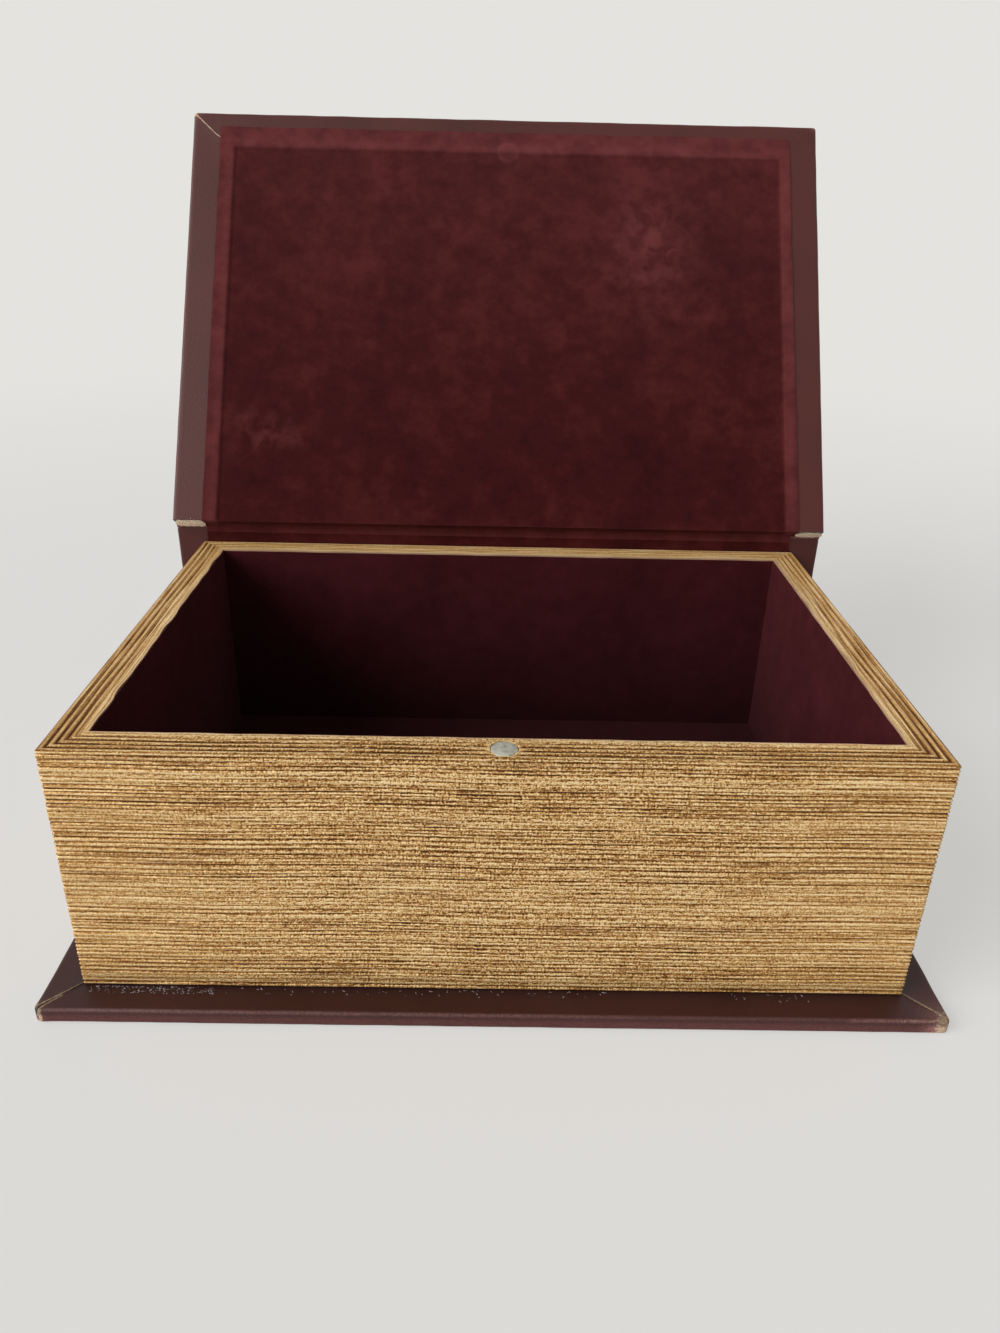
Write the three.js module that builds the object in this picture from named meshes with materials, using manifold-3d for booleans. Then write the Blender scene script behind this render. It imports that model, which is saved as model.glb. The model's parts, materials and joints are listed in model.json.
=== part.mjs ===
// A trinket box in the shape of a closed book: a rigid tray whose sides are papered as gilt page
// edges, glued into a hard cover of three boards in leatherette. The upper board is the hinged lid,
// which a pair of small magnets holds shut. It stands open here.
// Millimetres. The origin is the middle of the cover's underside, +X is to the right, +Y towards
// the spine and +Z up.
import * as THREE from "three";
import { mergeVertices } from "three/addons/utils/BufferGeometryUtils.js";
import Module from "manifold-3d";

// The tray, over its papers
const TRAY_WIDTH = 194;
const TRAY_DEPTH = 134;
const TRAY_HEIGHT = 64;
const WALL_BOARD = 7.5;
const FLOOR_BOARD = 3;

// The page edges: embossed paper round the tray and over its rim
const PAGE_PAPER = 0.4;
const RIDGE_PITCH = 1.45;
const RIDGE_DEPTH = 0.22;

// The cover's boards, and the leatherette drawn round them
const COVER_BOARD = 3;
const LEATHERETTE = 0.4;
const OVERHANG_FRONT = 8;
const OVERHANG_SIDE = 8.6;
const EDGE_ROUNDING = 1.2;
const CORNER_ROUNDING = 1.6;
const TURN_IN = 14;

// The velvet paper inside the tray, and on the lid and the spine
const LINING = 0.4;
const ENDPAPER = 0.35;
const ENDPAPER_SIDE_MARGIN = 8.4;
const ENDPAPER_FRONT_MARGIN = 5.8;
const EMBOSS_SLOPE = 0.9;
const SPINE_PAPER_DEPTH = 20;

// The disc magnets
const MAGNET_DIAMETER = 6;
const TRAY_MAGNET_HEIGHT = 3;
const LID_MAGNET_HEIGHT = 2;
const MAGNET_RIGHT_OF_MIDDLE = 0.8;
const MAGNET_RECESS = 0.1;

// The hinge: the leatherette and the endpaper bend along the spine's top edge
const OPEN_ANGLE = 122.5;
const HINGE_GAP = 0.5;
const PIVOT_RISE = 0.3;
const HINGE_LAP_SPINE = 2.4;
const HINGE_LAP_LID = 2.2;
const GUTTER_LAP = 0.5;

// Fits
const GLUE = 0.1;
const LID_REST_GAP = 0.2;
const POCKET_CLEARANCE = 0.15;
const FOLD_CLEARANCE = 0.15;

// Levels and depths that follow from them
const COVER = COVER_BOARD + 2 * (LEATHERETTE + GLUE);
const TRAY_BOTTOM = COVER + GLUE;
const RIM = TRAY_BOTTOM + TRAY_HEIGHT;
const WALL_TOP = RIM - PAGE_PAPER - GLUE;
const FLOOR_TOP = TRAY_BOTTOM + FLOOR_BOARD;
const LID_PAPER_FACE = RIM + LID_REST_GAP;
const LID_LEATHER_FACE = LID_PAPER_FACE + ENDPAPER + GLUE;
const LID_TOP = LID_LEATHER_FACE + COVER;

const SPINE_STACK = GLUE + ENDPAPER + GLUE + COVER;
const COVER_DEPTH = OVERHANG_FRONT + TRAY_DEPTH + SPINE_STACK;
const COVER_WIDTH = TRAY_WIDTH + 2 * OVERHANG_SIDE;
const COVER_FRONT = -COVER_DEPTH / 2;
const COVER_BACK = COVER_DEPTH / 2;
const TRAY_FRONT = COVER_FRONT + OVERHANG_FRONT;
const TRAY_BACK = TRAY_FRONT + TRAY_DEPTH;
const TRAY_MIDDLE = (TRAY_FRONT + TRAY_BACK) / 2;
const SPINE_PAPER_FACE = TRAY_BACK + GLUE;
const SPINE_FACE = SPINE_PAPER_FACE + ENDPAPER + GLUE;
const BASE_BACK = SPINE_FACE - GLUE;

const OUTER_SKIN = PAGE_PAPER + GLUE;
const INNER_SKIN = LINING + GLUE;
const RIM_WIDTH = OUTER_SKIN + WALL_BOARD + INNER_SKIN;
const PANEL_X = TRAY_WIDTH / 2 - OUTER_SKIN;
const ROOM_X = PANEL_X - WALL_BOARD;
const PANEL_Y = TRAY_DEPTH / 2 - OUTER_SKIN;
const ROOM_Y = PANEL_Y - WALL_BOARD;

const ENDPAPER_X = COVER_WIDTH / 2 - ENDPAPER_SIDE_MARGIN;
const LID_HINGE_END = SPINE_PAPER_FACE - HINGE_GAP;
const LID_BOARD_END = LID_HINGE_END - ENDPAPER - GLUE;
const MAGNET_Y = TRAY_FRONT + RIM_WIDTH / 2;
const PIVOT_Y = SPINE_PAPER_FACE;
const PIVOT_Z = LID_TOP + PIVOT_RISE;
const OPEN = THREE.MathUtils.degToRad(OPEN_ANGLE);

const finish = (name, color, roughness, metalness = 0) => {
  const material = new THREE.MeshStandardMaterial({ color, roughness, metalness });
  material.name = name;
  return material;
};
const greyboard = finish("greyboard", "#8f8574", 0.9);
const fibreboard = finish("fibreboard", "#a98a66", 0.85);
const giltPaper = finish("gilt_paper", "#b98f4e", 0.5, 0.3);
const leatherette = finish("leatherette", "#54302f", 0.45);
const velvetPaper = finish("velvet_paper", "#471b20", 0.95);
const nickel = finish("nickel", "#b9babd", 0.3, 1);

const wasm = await Module();
wasm.setup();

// A closed geometry as a solid that can be cut and joined
function solidFrom(geometry) {
  const shell = geometry.clone();
  shell.deleteAttribute("normal");
  shell.deleteAttribute("uv");
  const merged = mergeVertices(shell, 1e-4);
  return new wasm.Manifold(
    new wasm.Mesh({
      numProp: 3,
      vertProperties: new Float32Array(merged.attributes.position.array),
      triVerts: new Uint32Array(merged.index.array),
    }),
  );
}

function geometryFrom(solid) {
  const mesh = solid.getMesh();
  const geometry = new THREE.BufferGeometry();
  geometry.setAttribute("position", new THREE.BufferAttribute(mesh.vertProperties, 3));
  geometry.setIndex(new THREE.BufferAttribute(mesh.triVerts, 1));
  geometry.computeVertexNormals();
  return geometry;
}

function cut(geometry, ...tools) {
  const solid = tools.reduce((rest, tool) => rest.subtract(solidFrom(tool)), solidFrom(geometry));
  return geometryFrom(solid);
}

function join(geometry, other) {
  return geometryFrom(solidFrom(geometry).add(solidFrom(other)));
}

// A box from its lowest to its highest corner
function block([x0, y0, z0], [x1, y1, z1]) {
  const box = new THREE.BoxGeometry(x1 - x0, y1 - y0, z1 - z0);
  return box.translate((x0 + x1) / 2, (y0 + y1) / 2, (z0 + z1) / 2);
}

// An upright disc, from its foot up
function disc(diameter, height, x, y, z) {
  const cylinder = new THREE.CylinderGeometry(diameter / 2, diameter / 2, height, 48);
  return cylinder.rotateX(Math.PI / 2).translate(x, y, z + height / 2);
}

// A flat slab with every edge and corner rounded, from its lowest to its highest corner. inset
// draws all its faces in, and the roundings with them, as a skin's inner face follows its outer.
function roundedSlab([x0, y0, z0], [x1, y1, z1], inset = 0) {
  const width = x1 - x0 - 2 * inset;
  const depth = y1 - y0 - 2 * inset;
  const thickness = z1 - z0 - 2 * inset;
  const rounding = EDGE_ROUNDING - inset;
  const corner = CORNER_ROUNDING - inset;
  const outline = new THREE.Shape();
  const [right, back] = [width / 2, depth / 2];
  outline.absarc(right - corner, back - corner, corner, 0, Math.PI / 2);
  outline.absarc(corner - right, back - corner, corner, Math.PI / 2, Math.PI);
  outline.absarc(corner - right, corner - back, corner, Math.PI, Math.PI * 1.5);
  outline.absarc(right - corner, corner - back, corner, Math.PI * 1.5, Math.PI * 2);
  const slab = new THREE.ExtrudeGeometry(outline, {
    depth: thickness - 2 * rounding,
    bevelThickness: rounding,
    bevelSize: rounding,
    bevelOffset: -rounding,
    bevelSegments: 3,
    curveSegments: 3,
  });
  return slab.translate((x0 + x1) / 2, (y0 + y1) / 2, z0 + inset + rounding);
}

// A sheet bent along a line in the YZ plane and as wide as the cover part that it joins
function bentSheet(line, thickness, halfWidth) {
  const side = (sign) =>
    line.map((point, i) => {
      const ahead = line[Math.min(i + 1, line.length - 1)].clone().sub(line[Math.max(i - 1, 0)]);
      const across = new THREE.Vector2(-ahead.y, ahead.x).normalize();
      return point.clone().addScaledVector(across, (sign * thickness) / 2);
    });
  const outline = new THREE.Shape([...side(-1), ...side(1).reverse()]);
  const sheet = new THREE.ExtrudeGeometry(outline, { depth: 2 * halfWidth, bevelEnabled: false });
  const [x, y, z] = [0, 1, 2].map((axis) => new THREE.Vector3().setComponent(axis, 1));
  return sheet.applyMatrix4(new THREE.Matrix4().makeBasis(y, z, x)).translate(-halfWidth, 0, 0);
}

const box = new THREE.Group();
const lid = new THREE.Group();
lid.position.set(0, PIVOT_Y, PIVOT_Z);
lid.rotation.x = -OPEN;
box.add(lid);

function piece(name, geometry, material) {
  const mesh = new THREE.Mesh(geometry, material);
  mesh.name = name;
  box.add(mesh);
}

// A piece of the lid is drawn where it lies when the lid is shut, and turns with the lid
function lidPiece(name, geometry, material) {
  const mesh = new THREE.Mesh(geometry, material);
  mesh.name = name;
  mesh.position.set(0, -PIVOT_Y, -PIVOT_Z);
  lid.add(mesh);
}

// Where a point of the shut lid, in the YZ plane, stands when the lid is open
function whenOpen(y, z) {
  const [sine, cosine] = [Math.sin(OPEN), Math.cos(OPEN)];
  const [dy, dz] = [y - PIVOT_Y, z - PIVOT_Z];
  return new THREE.Vector2(PIVOT_Y + dy * cosine + dz * sine, PIVOT_Z - dy * sine + dz * cosine);
}

// A cover board in its leatherette. The leatherette goes over the outer face and three edges, and
// its turn-ins lie on the inner face; the edge at the spine is left open.
const BOARD_INSET = LEATHERETTE + GLUE;
const OVERRUN = 4 * CORNER_ROUNDING;

function coverBoard(low, high, boardEnd) {
  const past = [high[0], boardEnd + OVERRUN, high[2]];
  const waste = block([low[0] - 1, boardEnd, low[2] - 1], [high[0] + 1, past[1] + 1, high[2] + 1]);
  return cut(roundedSlab(low, past, BOARD_INSET), waste);
}

function coverSkin(low, high, boardEnd, insideFace) {
  const past = [high[0], boardEnd + OVERRUN, high[2]];
  const waste = block([low[0] - 1, boardEnd, low[2] - 1], [high[0] + 1, past[1] + 1, high[2] + 1]);
  const window = block(
    [low[0] + TURN_IN, low[1] + TURN_IN, insideFace - COVER / 2],
    [high[0] - TURN_IN, past[1] + 1, insideFace + COVER / 2],
  );
  return cut(roundedSlab(low, past), roundedSlab(low, past, LEATHERETTE), waste, window);
}

// Base of the cover
const baseLow = [-COVER_WIDTH / 2, COVER_FRONT, 0];
const baseHigh = [COVER_WIDTH / 2, BASE_BACK, COVER];
piece("base_board", coverBoard(baseLow, baseHigh, BASE_BACK), greyboard);
piece("leatherette_base", coverSkin(baseLow, baseHigh, BASE_BACK, COVER), leatherette);

// Spine: a board on edge behind the tray, as high as the shut lid's outer face
const spineLow = [-COVER_WIDTH / 2, 0, 0];
const spineHigh = [COVER_WIDTH / 2, LID_TOP, COVER];
const upright = (geometry) => geometry.rotateX(Math.PI / 2).translate(0, COVER_BACK, 0);
const spineWindow = block(
  [spineLow[0] + TURN_IN, TURN_IN, COVER / 2],
  [spineHigh[0] - TURN_IN, LID_TOP - TURN_IN, COVER + 1],
);
const spineSkin = cut(
  roundedSlab(spineLow, spineHigh),
  roundedSlab(spineLow, spineHigh, LEATHERETTE),
  spineWindow,
);
piece("spine_board", upright(roundedSlab(spineLow, spineHigh, BOARD_INSET)), greyboard);
piece("leatherette_spine", upright(spineSkin), leatherette);
piece(
  "endpaper_spine",
  block(
    [-ENDPAPER_X, SPINE_PAPER_FACE, RIM - SPINE_PAPER_DEPTH],
    [ENDPAPER_X, SPINE_PAPER_FACE + ENDPAPER, LID_TOP - EDGE_ROUNDING],
  ),
  velvetPaper,
);

// Tray: the front and back walls run the full width, the sides stand between them, and the floor
// lies inside all four. The front wall has a pocket for the magnet.
const wall = ([x0, y0], [x1, y1]) =>
  block([x0, TRAY_MIDDLE + y0, TRAY_BOTTOM], [x1, TRAY_MIDDLE + y1, WALL_TOP]);
const magnetFoot = RIM - MAGNET_RECESS - TRAY_MAGNET_HEIGHT;
const pocketDiameter = MAGNET_DIAMETER + 2 * POCKET_CLEARANCE;
const trayPocket = disc(
  pocketDiameter,
  TRAY_MAGNET_HEIGHT + 1,
  MAGNET_RIGHT_OF_MIDDLE,
  MAGNET_Y,
  magnetFoot - POCKET_CLEARANCE,
);
const sideReach = ROOM_Y - GLUE;
piece("tray_front_panel", cut(wall([-PANEL_X, -PANEL_Y], [PANEL_X, -ROOM_Y]), trayPocket), fibreboard);
piece("tray_back_panel", wall([-PANEL_X, ROOM_Y], [PANEL_X, PANEL_Y]), fibreboard);
piece("tray_left_panel", wall([-PANEL_X, -sideReach], [-ROOM_X, sideReach]), fibreboard);
piece("tray_right_panel", wall([ROOM_X, -sideReach], [PANEL_X, sideReach]), fibreboard);
piece(
  "tray_floor_panel",
  block(
    [GLUE - ROOM_X, TRAY_MIDDLE - ROOM_Y + GLUE, TRAY_BOTTOM],
    [ROOM_X - GLUE, TRAY_MIDDLE + ROOM_Y - GLUE, FLOOR_TOP],
  ),
  fibreboard,
);
piece(
  "tray_magnet",
  disc(MAGNET_DIAMETER, TRAY_MAGNET_HEIGHT, MAGNET_RIGHT_OF_MIDDLE, MAGNET_Y, magnetFoot),
  nickel,
);

// Page edges: one strip of ridged paper round the four walls, mitred over the rim. Its section is
// given as depth in from the tray's outer face, and height.
function ridges(from, to, place) {
  const count = Math.max(1, Math.round(Math.abs(to - from) / RIDGE_PITCH));
  const points = [];
  for (let i = 0; i < count; i++) {
    points.push(place(from + ((to - from) * i) / count, 0));
    points.push(place(from + ((to - from) * (i + 0.5)) / count, RIDGE_DEPTH));
  }
  return points;
}

function pageEdges() {
  const section = [
    ...ridges(TRAY_BOTTOM, RIM, (height, sunk) => [sunk, height]),
    ...ridges(0, RIM_WIDTH, (depth, sunk) => [depth, RIM - sunk]),
    [RIM_WIDTH, RIM],
    [RIM_WIDTH, RIM - PAGE_PAPER],
    [PAGE_PAPER, RIM - PAGE_PAPER],
    [PAGE_PAPER, TRAY_BOTTOM],
  ];
  const corners = [
    [1, -1],
    [1, 1],
    [-1, 1],
    [-1, -1],
  ];
  const positions = [];
  for (const [right, back] of corners) {
    for (const [depth, height] of section) {
      const x = right * (TRAY_WIDTH / 2 - depth);
      const y = TRAY_MIDDLE + back * (TRAY_DEPTH / 2 - depth);
      positions.push(x, y, height);
    }
  }
  const index = [];
  const count = section.length;
  for (let corner = 0; corner < corners.length; corner++) {
    const next = (corner + 1) % corners.length;
    for (let i = 0; i < count; i++) {
      const j = (i + 1) % count;
      const [a, b, c, d] = [corner * count + i, next * count + i, next * count + j, corner * count + j];
      index.push(a, b, c, a, c, d);
    }
  }
  const strip = new THREE.BufferGeometry();
  strip.setAttribute("position", new THREE.Float32BufferAttribute(positions, 3));
  strip.setIndex(index);
  return strip;
}
piece("page_edge_paper", cut(pageEdges(), trayPocket), giltPaper);

// Lining: a sheet on each wall and one on the floor
const liningFoot = FLOOR_TOP + GLUE;
const liningTop = RIM - PAGE_PAPER - GLUE;
const [liningX, liningY] = [ROOM_X - GLUE, ROOM_Y - GLUE];
const [clearX, clearY] = [liningX - LINING, liningY - LINING];
const lining = ([x0, y0, z0], [x1, y1, z1]) =>
  block([x0, TRAY_MIDDLE + y0, z0], [x1, TRAY_MIDDLE + y1, z1]);
const reachY = clearY - GLUE;
piece("lining_front", lining([-liningX, -liningY, liningFoot], [liningX, -clearY, liningTop]), velvetPaper);
piece("lining_back", lining([-liningX, clearY, liningFoot], [liningX, liningY, liningTop]), velvetPaper);
piece("lining_left", lining([-liningX, -reachY, liningFoot], [-clearX, reachY, liningTop]), velvetPaper);
piece("lining_right", lining([clearX, -reachY, liningFoot], [liningX, reachY, liningTop]), velvetPaper);
piece(
  "lining_floor",
  lining([GLUE - clearX, -reachY, liningFoot], [clearX - GLUE, reachY, liningFoot + LINING]),
  velvetPaper,
);

// Lid: a board in its leatherette, with a magnet let into its inner face
const lidLow = [-COVER_WIDTH / 2, COVER_FRONT, LID_LEATHER_FACE];
const lidHigh = [COVER_WIDTH / 2, LID_BOARD_END, LID_TOP];
const lidBoardFace = LID_LEATHER_FACE + BOARD_INSET;
const lidPocket = disc(
  pocketDiameter,
  LID_MAGNET_HEIGHT + POCKET_CLEARANCE + 1,
  MAGNET_RIGHT_OF_MIDDLE,
  MAGNET_Y,
  lidBoardFace - 1,
);
const lidBoard = coverBoard(lidLow, lidHigh, LID_BOARD_END);
lidPiece("lid_board", cut(lidBoard, lidPocket), greyboard);
lidPiece("leatherette_lid", coverSkin(lidLow, lidHigh, LID_BOARD_END, LID_LEATHER_FACE), leatherette);
lidPiece(
  "lid_magnet",
  disc(MAGNET_DIAMETER, LID_MAGNET_HEIGHT, MAGNET_RIGHT_OF_MIDDLE, MAGNET_Y, lidBoardFace),
  nickel,
);

// Endpaper of the lid: it lies on the turn-ins round three sides and sinks onto the bare board
// inside them, so that their edge shows through, and it is turned over the board's hinge edge
function lidEndpaper() {
  const sunkX = COVER_WIDTH / 2 - TURN_IN - EMBOSS_SLOPE;
  const sunkFront = COVER_FRONT + TURN_IN + EMBOSS_SLOPE;
  const across = [-ENDPAPER_X, -sunkX - EMBOSS_SLOPE, -sunkX, sunkX, sunkX + EMBOSS_SLOPE, ENDPAPER_X];
  const along = [
    COVER_FRONT + ENDPAPER_FRONT_MARGIN,
    sunkFront - EMBOSS_SLOPE,
    sunkFront,
    LID_HINGE_END,
  ];
  const sheet = new THREE.BoxGeometry(1, 1, 1, across.length - 1, along.length - 1, 1);
  const position = sheet.attributes.position;
  for (let i = 0; i < position.count; i++) {
    const x = across[Math.round((position.getX(i) + 0.5) * (across.length - 1))];
    const y = along[Math.round((position.getY(i) + 0.5) * (along.length - 1))];
    const sunk = Math.abs(x) <= sunkX && y >= sunkFront ? BOARD_INSET : 0;
    position.setXYZ(i, x, y, LID_PAPER_FACE + sunk + (position.getZ(i) > 0 ? ENDPAPER : 0));
  }
  const flange = block(
    [-ENDPAPER_X, LID_HINGE_END - ENDPAPER, LID_PAPER_FACE + BOARD_INSET],
    [ENDPAPER_X, LID_HINGE_END, LID_TOP - EDGE_ROUNDING],
  );
  return join(sheet, flange);
}
lidPiece("endpaper_lid", lidEndpaper(), velvetPaper);

// Hinge: the leatherette bends between the spine's top edge and the lid's outer face, and the
// endpaper closes the gutter in front of it
function leatheretteHinge() {
  const off = LEATHERETTE / 2 + FOLD_CLEARANCE;
  const spineStart = SPINE_FACE + EDGE_ROUNDING;
  const fold = whenOpen(LID_BOARD_END, LID_TOP + off);
  return [
    new THREE.Vector2(spineStart + HINGE_LAP_SPINE - EDGE_ROUNDING, LID_TOP + off),
    new THREE.Vector2(Math.max(spineStart, fold.x + off), LID_TOP + off),
    fold,
    whenOpen(LID_BOARD_END - HINGE_LAP_LID, LID_TOP + off),
  ];
}
piece("leatherette_hinge", bentSheet(leatheretteHinge(), LEATHERETTE, COVER_WIDTH / 2 - CORNER_ROUNDING), leatherette);

function endpaperHinge() {
  const top = LID_TOP - EDGE_ROUNDING + FOLD_CLEARANCE;
  return [
    new THREE.Vector2(SPINE_PAPER_FACE + ENDPAPER / 2, top),
    new THREE.Vector2(SPINE_PAPER_FACE + ENDPAPER / 2, top + GUTTER_LAP),
    whenOpen(LID_HINGE_END - ENDPAPER / 2, top),
  ];
}
piece("endpaper_hinge", bentSheet(endpaperHinge(), ENDPAPER, ENDPAPER_X), velvetPaper);

export default box;
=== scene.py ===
import json
import math

import bmesh
import bpy
import numpy as np
from mathutils import Matrix, Vector, noise


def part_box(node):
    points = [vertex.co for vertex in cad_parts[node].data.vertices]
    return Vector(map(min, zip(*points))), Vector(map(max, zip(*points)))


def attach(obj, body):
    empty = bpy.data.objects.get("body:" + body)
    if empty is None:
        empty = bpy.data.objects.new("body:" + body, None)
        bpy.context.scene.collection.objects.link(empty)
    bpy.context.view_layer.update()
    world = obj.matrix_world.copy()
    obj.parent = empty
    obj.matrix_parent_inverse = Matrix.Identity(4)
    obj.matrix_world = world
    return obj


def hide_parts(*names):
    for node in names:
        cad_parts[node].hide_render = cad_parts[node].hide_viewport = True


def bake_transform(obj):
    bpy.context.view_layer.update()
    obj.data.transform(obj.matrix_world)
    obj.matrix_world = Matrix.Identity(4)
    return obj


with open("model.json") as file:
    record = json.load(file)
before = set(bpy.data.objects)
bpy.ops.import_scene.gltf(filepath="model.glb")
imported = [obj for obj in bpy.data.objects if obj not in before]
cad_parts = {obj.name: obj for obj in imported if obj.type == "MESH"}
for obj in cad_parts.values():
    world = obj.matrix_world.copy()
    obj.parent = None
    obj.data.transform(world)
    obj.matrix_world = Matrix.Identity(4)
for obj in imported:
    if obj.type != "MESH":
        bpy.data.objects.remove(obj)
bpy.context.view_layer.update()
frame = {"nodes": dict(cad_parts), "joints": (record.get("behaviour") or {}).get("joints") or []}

# Tray walls and floor
# Four walls and a floor of medium-density fibreboard, sawn, butt-jointed and glued into a box.
# Paper and velvet cover them, so their sawn edges show only in chinks and at worn places.
MM = 0.001


def linear(code):
    """An sRGB hex colour as linear red, green, blue and alpha."""
    parts = [int(code[i : i + 2], 16) / 255 for i in (1, 3, 5)]
    curve = [c / 12.92 if c <= 0.04045 else ((c + 0.055) / 1.055) ** 2.4 for c in parts]
    return (*curve, 1.0)


def finish(name):
    """A new material by name, and its surface shader."""
    material = bpy.data.materials.new(name)
    material.use_nodes = True
    return material, material.node_tree.nodes["Principled BSDF"]


def wire(node, inputs):
    """Gives a node's sockets a value, or a link from another node's socket."""
    for socket, value in inputs.items():
        if isinstance(value, bpy.types.NodeSocket):
            node.id_data.links.new(value, node.inputs[socket])
        else:
            node.inputs[socket].default_value = value


def add(material, kind, inputs=None, stops=None, **settings):
    """Adds a node with its own settings, values or links for its sockets, and stops for a ramp."""
    made = material.node_tree.nodes.new("ShaderNode" + kind)
    for name, value in settings.items():
        setattr(made, name, value)
    wire(made, inputs or {})
    for i, (place, code) in enumerate(stops or []):
        elements = made.color_ramp.elements
        element = elements[i] if i < 2 else elements.new(place)
        element.position = place
        element.color = linear(code)
    return made


def dress(material, *names):
    """Gives CAD nodes that stay in view their material."""
    for name in names:
        slots = frame["nodes"][name].data.materials
        slots.clear()
        slots.append(material)


# Medium-density fibreboard, sawn: a matt tan felt of fine fibres, darker where the saw burned it.
# The fibres are drawn 0.6 mm apart, coarser than real ones, so that they show.
fibreboard, surface = finish("fibreboard_sawn")
place = add(fibreboard, "TexCoord").outputs["Object"]
FIBRE, BURN = 0.6 * MM, 18 * MM
fibres = add(fibreboard, "TexNoise", {"Vector": place, "Scale": 1 / FIBRE, "Detail": 4.0})
burns = add(fibreboard, "TexNoise", {"Vector": place, "Scale": 1 / BURN, "Detail": 2.0})
tone = add(fibreboard, "Math", {0: fibres.outputs["Fac"], 1: burns.outputs["Fac"]}, operation="ADD")
half_tone = add(fibreboard, "Math", {0: tone.outputs[0], 1: 0.5}, operation="MULTIPLY")
tans = add(
    fibreboard,
    "ValToRGB",
    {"Fac": half_tone.outputs[0]},
    stops=[(0.3, "#7d6346"), (0.7, "#bb9c74"), (0.5, "#a5855f")],
)
relief = add(
    fibreboard, "Bump", {"Height": fibres.outputs["Fac"], "Distance": 0.08 * MM, "Strength": 0.7}
)
wire(surface, {"Base Color": tans.outputs["Color"], "Normal": relief.outputs["Normal"], "Roughness": 0.85})
dress(
    fibreboard,
    "tray_front_panel",
    "tray_back_panel",
    "tray_left_panel",
    "tray_right_panel",
    "tray_floor_panel",
)

# Page edges
# One strip of embossed paper, printed in bronze ink, stands for the gilt edges of the pages. It is
# glued round the four walls and over the rim, mitred at the corners, and trimmed by hand inside.
page_low, page_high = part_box("page_edge_paper")
TRAY_FOOT, RIM = page_low.z, page_high.z
TRAY_CENTRE = np.array([(page_low.x + page_high.x) / 2, (page_low.y + page_high.y) / 2])
TRAY_HALF = np.array([(page_high.x - page_low.x) / 2, (page_high.y - page_low.y) / 2])
TRAY_CORNERS = np.array([[-1, 1], [-1, -1], [1, -1], [1, 1]])
WALL_HEIGHT = RIM - TRAY_FOOT
PAGE_PAPER = 0.4 * MM
RIM_WIDTH = 8.5 * MM
DEEPEST_GROOVE = 0.36 * MM
ARRIS_ROUNDING = 0.14 * MM
TRIMMED = 0.3 * MM
chance = np.random.default_rng(12)


def new_piece(name, points, faces, material):
    """A new smooth-shaded mesh object."""
    mesh = bpy.data.meshes.new(name)
    mesh.from_pydata([tuple(p) for p in points], [], faces)
    mesh.materials.append(material)
    mesh.shade_smooth()
    made = bpy.data.objects.new(name, mesh)
    bpy.context.scene.collection.objects.link(made)
    return made


def mark(piece, name, values):
    """A number at each point of a mesh, for its material to read."""
    attribute = piece.data.attributes.new(name, "FLOAT", "POINT")
    attribute.data.foreach_set("value", np.asarray(values, np.float32).ravel())


def quads(rows, columns, rows_meet=False, columns_meet=False):
    """Faces of a grid of points that was laid out row by row."""
    faces = []
    for r in range(rows if rows_meet else rows - 1):
        for c in range(columns if columns_meet else columns - 1):
            r2, c2 = (r + 1) % rows, (c + 1) % columns
            faces.append((r * columns + c, r * columns + c2, r2 * columns + c2, r2 * columns + c))
    return faces


def ripples(along, total, turns, seeds):
    """An uneven wave along a closed line, from about -1 to 1. It has one row for each seed."""
    made = np.zeros((len(seeds), len(along)))
    for i, seed in enumerate(seeds):
        draw = np.random.default_rng(seed)
        for turn in turns:
            made[i] += np.sin(2 * math.pi * (turn * along / total + draw.random()))
    return made / math.sqrt(len(turns) * 1.2)


# Columns of the strip, side by side round the tray: where each stands along its side. One close to
# each corner keeps the corner crisp.
COLUMN_STEP, CORNER_STEP = 1.5 * MM, 0.5 * MM
side_of, share_of, along_of = [], [], []
walked = 0.0
for side in range(4):
    length = 2 * TRAY_HALF[1 - side % 2]
    steps = round(length / COLUMN_STEP)
    shares = [0, CORNER_STEP / length, *(np.arange(1, steps) / steps), 1 - CORNER_STEP / length]
    side_of += [side] * len(shares)
    share_of += shares
    along_of += [walked + length * s for s in shares]
    walked += length
side_of, share_of, along_of = np.array(side_of), np.array(share_of), np.array(along_of)
column_start = TRAY_CORNERS[side_of]
column_way = TRAY_CORNERS[(side_of + 1) % 4] - column_start
column_sign = column_start + column_way * share_of[:, None]
at_corner = (share_of == 0).astype(float)


def uneven_starts(length, finest, coarsest):
    """Where each ridge of the embossing starts."""
    pitches = []
    while sum(pitches) < length:
        pitches.append(finest + (coarsest - finest) * chance.beta(1.2, 1.9))
    return np.append(0, np.cumsum(pitches)[:-1]) * length / sum(pitches)


# Rows of the strip, up the wall and over the rim. A ridge has a groove at its foot and a rounded crest.
row_at, row_sinking, groove_depth, ridge_of = [], [], [], []
ridges = 0
for offset, length, finest, coarsest in (
    (0, WALL_HEIGHT, 0.76 * MM, 1.7 * MM),
    (WALL_HEIGHT, RIM_WIDTH - TRIMMED, 1.25 * MM, 2.3 * MM),
):
    starts = uneven_starts(length, finest, coarsest)
    for start, pitch in zip(starts, np.diff(np.append(starts, length))):
        depth = chance.choice([0.36, 0.3, 0.22, 0.1], p=[0.2, 0.35, 0.25, 0.2]) * MM
        for share, sinking in ((0, 1), (0.22, 0.4), (0.5, 0), (0.78, 0.4)):
            row_at.append(offset + start + share * pitch)
            row_sinking.append(sinking)
            groove_depth.append(depth)
            ridge_of.append(ridges)
        ridges += 1
for left in (TRIMMED, 0):
    row_at.append(WALL_HEIGHT + RIM_WIDTH - left)
    row_sinking.append(0)
    groove_depth.append(0)
    ridge_of.append(ridges)
row_at = np.array(row_at)[:, None]
row_sinking = np.array(row_sinking)[:, None]
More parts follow.
